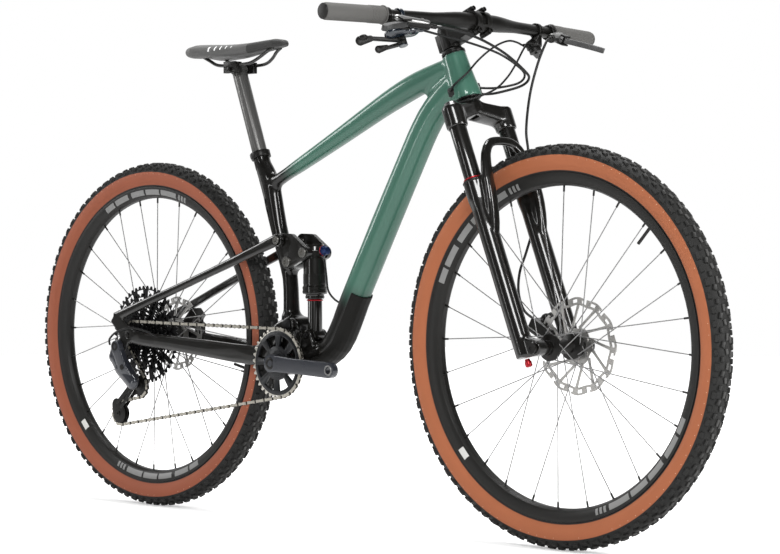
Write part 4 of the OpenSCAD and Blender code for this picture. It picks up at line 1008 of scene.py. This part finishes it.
class BIKE_OT_controls(Piece, bpy.types.Operator):
    """Makes the brake levers, the shifter and the lockout remote"""

    bl_idname = "bike.controls"
    bl_label = "Controls"

    # Each shift paddle's thumb pad, in the shifter's frame on the bar: where it starts and ends, with its radii
    THUMB_PADS = (("shift_paddle_main", (-33, -32, 52), (-43, -32, 66), 6.5, 10.0),
                  ("shift_paddle_release", (-22, -53.5, 29), (-30, -54, 40), 5.0, 8.0))
    LEVER_TURN = math.radians(-44)

    def shifting(self):
        at = bar_frame(SHIFTER_AT, -1)
        ahead, up = (at.to_3x3() @ Vector(way) for way in ((1, 0, 0), (0, 1, 0)))
        for node, start, end, r0, r1 in self.THUMB_PADS:
            forms = [eased("lever", node, 1.0, 3),
                     paddle("thumb_pad", at @ mm(*start), at @ mm(*end), r0, r1, ahead, 0.34)]
            settle(joined(node + "_finished", forms), NODE_BODY[node], "black_plastic", "black_plastic", node)
        ready("lockout_lever", "finished", "black_plastic", "black_plastic", 1.0, 3)
        moulded("remote_body", "finished", "black_plastic", "black_alloy", voxel=0.8, rounds=3, fillet=2.0)
        forms = [flowing("shifter", "shifter_body", voxel=0.8, rounds=4, fillet=2.5),
                 paddle("pod", at @ mm(6, -33.5, -14), at @ mm(-4, -33.5, 18), 16, 19, up, 0.52),
                 turned("cap", band(CORE, 8.5, 0, 2.6, 0.9), at @ mm(0, -58.2, 8), -up)]
        settle(joined("shifter_body_finished", forms), "steering", "blue_black", "blue_black", "shifter_body")

    def braking(self):
        masters = [flowing("master", "brake_masters", voxel=0.8, rounds=2, fillet=1.5)]
        tops = []
        for side in (-1, 1):
            at = bar_frame(LEVER_AT, side) @ Matrix.Rotation(self.LEVER_TURN, 4, "Z")
            up = at.to_3x3() @ Vector((0, 1, 0))
            tops.append(paddle("reservoir", at @ mm(30, 4.5, 2), at @ mm(50, 4.5, -52), 8.5, 7.0, up, 0.75))
            for x, z in ((32, -6), (46, -43)):
                tops.append(socket_bolt("screw", at @ mm(x, 10.4, z), up, 2.4, 1.4, 1.2))
            masters.append(socket_bolt("bolt", at @ mm(20, 6.5, 5), up, 3.6, 2.6, 1.8))
        settle(joined("brake_masters_finished", masters), "steering", "black_alloy", "black_alloy", "brake_masters")
        settle(joined("brake_reservoirs", tops), "steering", "black_alloy", "grey_alloy")
        for side in ("right", "left"):
            ready("brake_lever_" + side, "forged", "black_alloy", "lever_alloy", 2.6, 4)

    def build(self):
        self.shifting()
        self.braking()


# Seat


class BIKE_OT_seat(Piece, bpy.types.Operator):
    """Makes the seatpost, the clamp, the rails and the saddle's cover"""

    bl_idname = "bike.seat"
    bl_label = "Seat"

    RAIL_ROUTE = ((-184, 10, 958), (-199, 13, 951), (-216, 18, 940), (-234, 21, 931.5), (-254, 22, 928),
                  (-287, 22, 928), (-322, 22, 928), (-342, 23.5, 931), (-359, 26.5, 940), (-376, 30, 949))
    RAIL_RADIUS = 3.5

    def build(self):
        ready("seatpost", "drawn", "black_alloy", "post_alloy")
        ready("saddle_clamp", "forged", "black_alloy", "black_alloy", 0.8)
        rails = [tube("rail", through([(x, side * y, z) for x, y, z in self.RAIL_ROUTE], 12), self.RAIL_RADIUS)
                 for side in (-1, 1)]
        settle(joined("saddle_rails_bent", rails), "seat", "black_alloy", "black_paint", "saddle_rails")
        cover = moulded("saddle_cover", "pad", "cover", "cover", voxel=1.8, rounds=6)


# Wheels


class BIKE_OT_wheels(Piece, bpy.types.Operator):
    """Makes the tyres with their knobs, the rims, the spokes and the hubs"""

    bl_idname = "bike.wheels"
    bl_label = "Wheels"

    # Degrees round the section, share of the pitch, width, length, lean in radians and extra height
    KNOBS = ((8.0, 0.02, 5.6, 15.0, 0.10, 0), (11.5, 0.52, 6.0, 12.0, -0.20, 0),
             (27.0, 0.28, 7.4, 12.5, 0.30, 0.3), (30.0, 0.78, 6.4, 11.0, 0.10, 0.3),
             (49.0, 0.06, 8.6, 15.0, 0.06, 1.0), (54.0, 0.55, 7.4, 13.0, -0.10, 1.0))
    KNOB_ROOT = 0.003  # how deep a knob sits in the casing, in metres

    def casing(self, centre):
        angles = (math.radians(-118 + 236 * k / 24) for k in range(25))
        points = [(TYRE_RING + TYRE_SECTION * math.cos(a), TYRE_SECTION * math.sin(a)) for a in angles]
        points = [(313, -14.5), (317.5, -15.2)] + [p for p in points if p[0] > 319] + [(317.5, 15.2), (313, 14.5)]
        return smooth(turned("casing", points, centre, ACROSS, 200), 40)

    def knob(self, angle, along, wide, long, lean, extra):
        """One tread block: angle is how far round the casing's section it stands, along its place round the wheel."""
        high = sizes().knob_height + extra * MM
        block = added("knob", bpy.ops.mesh.primitive_cube_add, size=1)
        block.data.transform(Matrix.Diagonal((long * MM, wide * MM, high + self.KNOB_ROOT, 1)))
        choose(block, lambda mid, way: way.z > 0.9)
        bpy.ops.transform.resize(value=(0.76, 0.80, 1))
        done()
        choose(block, lambda mid, way: mid.z > 0, "EDGE")
        bpy.ops.mesh.bevel(offset=0.0006, segments=1)
        done()
        rise = TYRE_SECTION * MM + (high - self.KNOB_ROOT) / 2
        block.data.transform(
            Matrix.Rotation(along, 4, "Y") @ Matrix.Translation(mm(0, 0, TYRE_RING)) @ Matrix.Rotation(-angle, 4, "X")
            @ Matrix.Translation((0, 0, rise)) @ Matrix.Rotation(lean, 4, "Z"))
        return block

    def tread(self, centre):
        count = sizes().tread_pitches
        step = math.tau / count
        blocks = [self.knob(side * math.radians(degrees), (share + 0.05 * side) * step, wide, long, side * lean, extra)
                  for side in (-1, 1) for degrees, share, wide, long, lean, extra in self.KNOBS]
        pitch = joined("tread", blocks)
        pitch.data.transform(Matrix.Translation(centre))
        return copies_round("tread", pitch, centre, count)

    def build(self):
        for end, centre in (("front", FRONT_AXLE), ("rear", REAR_AXLE)):
            body, tyre, rim, spokes, hub = (f"{end}_{part}" for part in ("wheel", "tyre", "rim", "spokes", "hub"))
            rubber = joined(tyre + "_moulded", [self.casing(centre), self.tread(centre)])
            settle(rubber, body, "tyre", tyre, tyre)
            ready(rim, "laid", "black_alloy", rim, 0.5)
            settle(smooth(cad_copy(spokes + "_drawn", spokes), 50), body, "steel", spokes, spokes)
            ready(hub, "turned", "black_alloy", "black_alloy")


class BIKE_OT_brakes(Piece, bpy.types.Operator):
    """Makes the rotors and the calipers"""

    bl_idname = "bike.brakes"
    bl_label = "Brakes"

    # End, axle, y of the rotor and its radius
    ROTORS = (("front", FRONT_AXLE, 0.0445, 0.090), ("rear", REAR_AXLE, 0.0585, 0.080))
    BAND_DEPTHS = (0, 0.004, 0.010, 0.0145)
    CARRIER_RIMS = (0.034, 0.029, 0.0205)
    ARMS, ARM_WIDE = 12, 0.0046
    ARM_START, ARM_STOP = 0.030, 0.013  # from the axle, and from the rotor's edge
    BOLTS, BOLT_RING = 6, 24.5

    def arms(self, hub, radius):
        """The slanted arms between the carrier and the braking band."""
        reach = radius - self.ARM_STOP - self.ARM_START
        arm = added("arm", bpy.ops.mesh.primitive_plane_add, size=1)
        arm.data.transform(Matrix.Diagonal((reach, self.ARM_WIDE, 1, 1)))
        edit(arm)
        bpy.ops.mesh.subdivide(number_cuts=3)
        done()
        for point in arm.data.vertices:
            point.co.y *= 1 + 1.2 * abs(point.co.x / reach) ** 2
        arm.data.transform(
            Matrix.Translation(hub) @ Matrix.Rotation(math.pi / 2, 4, "X") @ Matrix.Rotation(0.62, 4, "Z")
            @ Matrix.Translation((self.ARM_START + reach / 2, 0, 0)) @ Matrix.Rotation(-0.42, 4, "Z"))
        return copies_round("arms", arm, hub, self.ARMS)

    def rotor(self, name, hub, radius):
        rims = [radius - depth for depth in self.BAND_DEPTHS]
        edge = flat_ring("band", hub, rims, 144,
                         lambda r, a: 0.016 * math.cos(12 * a + 20 * (radius - r)) - 0.016,
                         lambda r, a: rims[2] < r < rims[1] and (math.degrees(a) % 15) < 7.5)
        carrier = flat_ring("carrier", hub, self.CARRIER_RIMS, 48,
                            lambda r, a: 0.05 * math.cos(6 * a) if r > 0.03 else 0.0, lambda r, a: False)
        disc = joined(name, [edge, carrier, self.arms(hub, radius)])
        outward(modify(disc, "SOLIDIFY", thickness=0.00185, offset=0))
        bolts = []
        for a in (math.tau * k / self.BOLTS + 0.5 for k in range(self.BOLTS)):
            place = hub + mm(self.BOLT_RING * math.cos(a), -1.6, self.BOLT_RING * math.sin(a))
            bolts.append(socket_bolt("bolt", place, ACROSS, 4.0, 2.2, 1.8))
        return smooth(joined(name, [disc, *bolts]), 30)

    def build(self):
        for end, centre, y, radius in self.ROTORS:
            disc = self.rotor(end + "_rotor_cut", Vector((centre.x, y, centre.z)), radius)
            settle(disc, end + "_wheel", "steel", "rotor_steel", end + "_rotor")
            moulded(end + "_caliper", "forged", "black_alloy", "black_paint", voxel=0.9, rounds=14, fillet=4.0)


# Drivetrain


class BIKE_OT_drivetrain(Piece, bpy.types.Operator):
    """Makes the cranks, the chainring and the derailleur with its pulleys"""

    bl_idname = "bike.drivetrain"
    bl_label = "Drivetrain"

    CRANK_CAP = ((CORE, 73.6), (6.0, 73.6), (7.0, 74.6), (11.6, 74.6), (12.2, 74.2), (12.2, 72), (CORE, 72))
    # Limbs: x and z of both ends, and the radius at each
    KNUCKLES = ((-589, 343, -598, 322, 15, 17), (-597, 322, -578, 294, 16, 15), (-580, 297, -542, 268, 16, 16))
    CAGE_PLATES = ((*TENSION, -615, 216, 21, 15), (-599, 213, -552, 264, 4.5, 4.5), (-612, 222, -560, 268, 4.5, 5.0),
                   (*GUIDE, -549, 271, 10, 11))
    PLATE_HALF = 1.3
    # Name, x and z, outline along the axis to the right, and steps round it
    PIVOTS = (("pivot", -586, 343, ((CORE, 96.4), (4.0, 96.4), (4.4, 97.6), (8.6, 97.6), (9.2, 96.8), (9.2, 94),
                                    (CORE, 94)), 32),
              ("pivot", -564, 300, band(CORE, 6.0, 93, 96.2), 32),
              ("clutch", -548, 270, ((CORE, 88.6), (9, 88.6), (10, 89.6), (12.0, 89.6), (12.8, 88.8), (12.8, 86),
                                     (CORE, 86)), 40))
    PULLEY_HUB = ((2.6, -3.2), (8, -3.2), (8.6, -2.4), (15.6, -1.4), (15.6, 1.4), (8.6, 2.4), (8, 3.2), (2.6, 3.2))

    def cranks(self):
        tilt = Matrix.Rotation(CRANK_TILT, 4, "Y")
        for side, node in ((-1, "drive_crank_arm"), (1, "left_crank_arm")):
            eye = BB + tilt @ mm(-side * CRANK_LENGTH, 0, 0)
            ready(node, "forged", "crank_alloy", "crank_alloy", 3.6, 4)
            cap = turned(node + "_cap", self.CRANK_CAP, BB, ACROSS * side, 40)
            settle(cap, "crankset", "crank_alloy", "black_alloy")
            insert = turned(node + "_insert", band(7.2, 10.2, 83.2, 84.5), eye, ACROSS * side, 40)
            settle(insert, "crankset", "crank_alloy", "grey_alloy")
        ready("chainring", "cut", "dark_steel", "chainring", 0.3)

    def derailleur(self):
        knuckles = [paddle("knuckle", mm(x0, -85, z0), mm(x1, -85, z1), r0, r1, ACROSS, 0.62)
                    for x0, z0, x1, z1, r0, r1 in self.KNUCKLES]
        smooth(moulded("derailleur_body", "forged", "crank_alloy", "crank_alloy", extra=knuckles, voxel=0.9, rounds=8),
               60)
        pivots = [turned(name, outline, mm(x, 0, z), -ACROSS, steps) for name, x, z, outline, steps in self.PIVOTS]
        settle(joined("derailleur_pivots", pivots), "rear_end", "dark_steel", "black_alloy")
        cage = [paddle("plate", mm(x0, y, z0), mm(x1, y, z1), r0, r1, ACROSS, self.PLATE_HALF / max(r0, r1))
                for y in (-67.6, -56.0) for x0, z0, x1, z1, r0, r1 in self.CAGE_PLATES]
        for x, z in (GUIDE, TENSION):
            cage.append(turned("axle", band(CORE, 2.5, -67, -56), mm(x, 0, z), ACROSS, 20))
            cage.append(socket_bolt("bolt", mm(x, -69.6, z), -ACROSS, 4.6, 2.0, 2.0))
        settle(joined("derailleur_cage_pressed", cage), "cage", "dark_steel", "black_alloy", "derailleur_cage")

    def pulley(self, name, centre):
        """A jockey wheel: a toothed disc on a hub."""
        pitch_r = pitch_radius(PULLEY_TEETH)
        tip, root = pitch_r + 0.0022, pitch_r - TOOTH_DEPTH * MM
        wheel = added(name, bpy.ops.mesh.primitive_cylinder_add, vertices=4 * PULLEY_TEETH, radius=tip,
                      depth=COG_THICK * MM, location=centre, rotation=UPRIGHT)
        for point in wheel.data.vertices:
            arm = point.co - centre
            if round(bearing(arm) / math.tau * 4 * PULLEY_TEETH) % 4 in (0, 1):
                point.co = centre + Vector((arm.x * root / tip, arm.y, arm.z * root / tip))
        hub = turned("hub", self.PULLEY_HUB, centre, ACROSS, 40)
        return smooth(joined(name, [wheel, hub]), 30)

    def build(self):
        self.cranks()
        self.derailleur()
        for node, (x, z) in (("guide_pulley", GUIDE), ("tension_pulley", TENSION)):
            wheel = self.pulley(node + "_cut", mm(x, CHAIN_Y, z))
            settle(wheel, NODE_BODY[node], "black_plastic", "black_plastic", node)


class BIKE_OT_cassette(Piece, bpy.types.Operator):
    """Cuts the twelve cogs of the cassette"""

    bl_idname = "bike.cassette"
    bl_label = "Cassette"

    COGS = (10, 12, 14, 16, 18, 21, 24, 28, 32, 36, 42, 50)
    FIRST_Y, COG_STEP, CARRIER_R = -69, 3.6, 0.0175
    CARRIER = ((17.0, -71), (19.0, -70), (19.0, -63), (17.8, -62), (17.8, -30), (17.0, -29), (12.4, -29), (12.4, -71))

    def cog(self, teeth, y, inner):
        """One cog: a toothed edge, a band of windows and an inner ring."""
        centre = Vector((REAR_AXLE.x, y, REAR_AXLE.z))
        pitch_r = pitch_radius(teeth)
        tip, root = pitch_r + 0.0030, pitch_r - TOOTH_DEPTH * MM
        ring = added("cog", bpy.ops.mesh.primitive_circle_add, vertices=4 * teeth, radius=tip, location=centre,
                     rotation=UPRIGHT)
        choose(ring, lambda co, way: False, "VERT")
        done()
        for i, point in enumerate(ring.data.vertices):
            point.select = i % 4 in (0, 1)
        bpy.ops.object.mode_set(mode="EDIT")
        bpy.ops.transform.resize(value=(root / tip,) * 3, center_override=centre)
        bpy.ops.mesh.select_all(action="SELECT")
        shoulder, sill = root - 0.0022, inner + 0.0030
        for r in (shoulder, sill, inner):
            bpy.ops.mesh.extrude_edges_move()
            done()
            for point in ring.data.vertices:
                if point.select:
                    point.co = centre + (point.co - centre).normalized() * r
            bpy.ops.object.mode_set(mode="EDIT")
        done()
        windows = max(6, round(teeth / 3))
        if shoulder - sill > 0.004:
            choose(ring, lambda mid, way: sill < (mid - centre).length < shoulder
                   and (bearing(mid - centre) / math.tau * windows + 0.13 * teeth) % 1 < 0.62)
            bpy.ops.mesh.delete(type="FACE")
            done()
        return outward(modify(ring, "SOLIDIFY", thickness=COG_THICK * MM, offset=0))

    def build(self):
        pieces = []
        for i, teeth in enumerate(self.COGS):
            inner = max(self.CARRIER_R, pitch_radius(self.COGS[i - 2]) - 0.006) if i > 2 else self.CARRIER_R
            pieces.append(self.cog(teeth, (self.FIRST_Y + self.COG_STEP * i) * MM, inner))
        pieces.append(turned("carrier", self.CARRIER, REAR_AXLE, ACROSS, 60))
        settle(smooth(joined("cassette_cut", pieces), 30), "cogs", "dark_steel", "dark_steel", "cassette")


class BIKE_OT_chain(Piece, bpy.types.Operator):
    """Links the chain round its sprockets"""

    bl_idname = "bike.chain"
    bl_label = "Chain"

    # Name, finish, half the width between the plates, plate radius, barrel radius, barrel's length beyond the plates,
    # and the CAD node that it takes the place of
    KINDS = (("inner_links", "inner_link", 0.0017, 0.0041, 0.0038, 0, ()),
             ("outer_links", "chain_steel", 0.0028, 0.0044, 0.0022, 0.0016, ("chain",)))
    ARC_STEPS = 24

    def run(self):
        """The chain's line in metres, as it passes ring, cog, guide pulley and tension pulley."""
        # x and z, teeth, way round, y, and the straight runs at this y before and after
        wheels = (((BB.x / MM, BB.z / MM), RING_TEETH, 1, RING_Y, 55, 55),
                  ((REAR_AXLE.x / MM, REAR_AXLE.z / MM), COG_TEETH, 1, CHAIN_Y, 110, 0),
                  (GUIDE, PULLEY_TEETH, -1, CHAIN_Y, 0, 0), (TENSION, PULLEY_TEETH, 1, CHAIN_Y, 0, 50))
        stops = [(middle, pitch_radius(teeth) / MM, *rest) for middle, teeth, *rest in wheels]

        def heading(a, b):
            dx, dz = b[0][0] - a[0][0], b[0][1] - a[0][1]
            return math.atan2(dz, dx) - math.asin((b[2] * b[1] - a[2] * a[1]) / math.hypot(dx, dz))

        line = []
        for i, (middle, r, way, y, before, after) in enumerate(stops):
            into, out = heading(stops[i - 1], stops[i]), heading(stops[i], stops[(i + 1) % len(stops)])
            sweep = way * ((way * (out - into)) % math.tau)
            arc = []
            for k in range(self.ARC_STEPS + 1):
                h = into + sweep * k / self.ARC_STEPS
                arc.append(Vector((middle[0] + way * r * math.sin(h), y, middle[1] - way * r * math.cos(h))))
            if before:
                arc.insert(0, arc[0] - Vector((math.cos(into), 0, math.sin(into))) * before)
            if after:
                arc.append(arc[-1] + Vector((math.cos(out), 0, math.sin(out))) * after)
            line += arc
        return [p * MM for p in line + line[:1]]

    def plates(self, half, radius):
        """A link's two plates with their waists, at the start of the link and lying along x."""
        pitch = sizes().chain_pitch
        plate = added("plate", bpy.ops.mesh.primitive_cylinder_add, vertices=12, radius=radius, depth=0.0009,
                      rotation=(math.pi / 2, math.radians(15), 0))
        choose(plate, lambda co, way: co.x > 0, "VERT")
        bpy.ops.transform.translate(value=(pitch, 0, 0))
        done()
        choose(plate, lambda mid, way: abs(way.x) > 0.9 * pitch and abs(mid.z) > 0.5 * radius, "EDGE")
        bpy.ops.mesh.subdivide(number_cuts=1)
        bpy.ops.transform.resize(value=(0.35, 1, 0.60), center_override=(pitch / 2, 0, 0))
        done()
        twin = copied(plate, Matrix.Translation((0, half, 0)))
        plate.data.transform(Matrix.Translation((0, -half, 0)))
        return joined("plates", [plate, twin])

    def link(self, half, plate_r, barrel_r, beyond):
        """One link: its two plates and the rollers or pins at its ends."""
        barrel = added("barrel", bpy.ops.mesh.primitive_cylinder_add, vertices=10, radius=barrel_r,
                       depth=2 * half + beyond, rotation=UPRIGHT)
        choose(barrel, lambda mid, way: abs(way.y) > 0.9)
        bpy.ops.mesh.inset(thickness=0.0008)
        done()
        twin = copied(barrel, Matrix.Translation((sizes().chain_pitch, 0, 0)))
        return joined("link", [self.plates(half, plate_r), barrel, twin])

    def spots(self):
        """Where each link starts, evenly along the run."""
        line = self.run()
        marks = [0.0]
        for a, b in zip(line, line[1:]):
            marks.append(marks[-1] + (b - a).length)
        count = 2 * round(marks[-1] / sizes().chain_pitch / 2)
        spots = []
        j = 0
        for k in range(count):
            at = marks[-1] * k / count
            while marks[j + 1] < at:
                j += 1
            spots.append(line[j].lerp(line[j + 1], (at - marks[j]) / max(marks[j + 1] - marks[j], 1e-9)))
        return spots

    def build(self):
        spots = self.spots()
        for parity, (name, finish, half, plate_r, barrel_r, beyond, nodes) in enumerate(self.KINDS):
            model = self.link(half, plate_r, barrel_r, beyond)
            links = []
            for k in range(parity, len(spots), 2):
                a, b = spots[k], spots[(k + 1) % len(spots)]
                x = (b - a).normalized()
                z = x.cross(ACROSS).normalized()
                links.append(copied(model, framed(a, x, z.cross(x), z)))
            bpy.data.objects.remove(model)
            chain = dressed(smooth(joined(name, links), 40), "steel", finish, *nodes)
            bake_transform(chain)


OPERATORS = (
    BIKE_OT_stage, BIKE_OT_cables, BIKE_OT_front_triangle, BIKE_OT_rear_triangle, BIKE_OT_shock, BIKE_OT_fork,
    BIKE_OT_cockpit, BIKE_OT_controls, BIKE_OT_seat, BIKE_OT_wheels, BIKE_OT_brakes, BIKE_OT_drivetrain,
    BIKE_OT_cassette, BIKE_OT_chain,
)


class BIKE_PT_pieces(bpy.types.Panel):
    """Lists the bike's pieces in the order they are made"""

    bl_idname = "BIKE_PT_pieces"
    bl_label = "Mountain Bike"
    bl_space_type = "VIEW_3D"
    bl_region_type = "UI"
    bl_category = "Bike"

    def draw(self, context):
        column = self.layout.column()
        for group in (context.scene.bike_look, context.scene.bike_sizes):
            for name in group.bl_rna.properties.keys():
                if name not in ("rna_type", "name"):
                    column.prop(group, name)
        for piece in OPERATORS:
            column.operator(piece.bl_idname)


CLASSES = (BikeLook, BikeSizes, *OPERATORS, BIKE_PT_pieces)


def register():
    for cls in CLASSES:
        bpy.utils.register_class(cls)
    bpy.types.Scene.bike_look = PointerProperty(type=BikeLook)
    bpy.types.Scene.bike_sizes = PointerProperty(type=BikeSizes)


def unregister():
    del bpy.types.Scene.bike_sizes
    del bpy.types.Scene.bike_look
    for cls in reversed(CLASSES):
        bpy.utils.unregister_class(cls)


def main():
    register()
    for piece in OPERATORS:
        group, name = piece.bl_idname.split(".")
        getattr(getattr(bpy.ops, group), name)()
    alone()


if __name__ == "__main__":
    main()
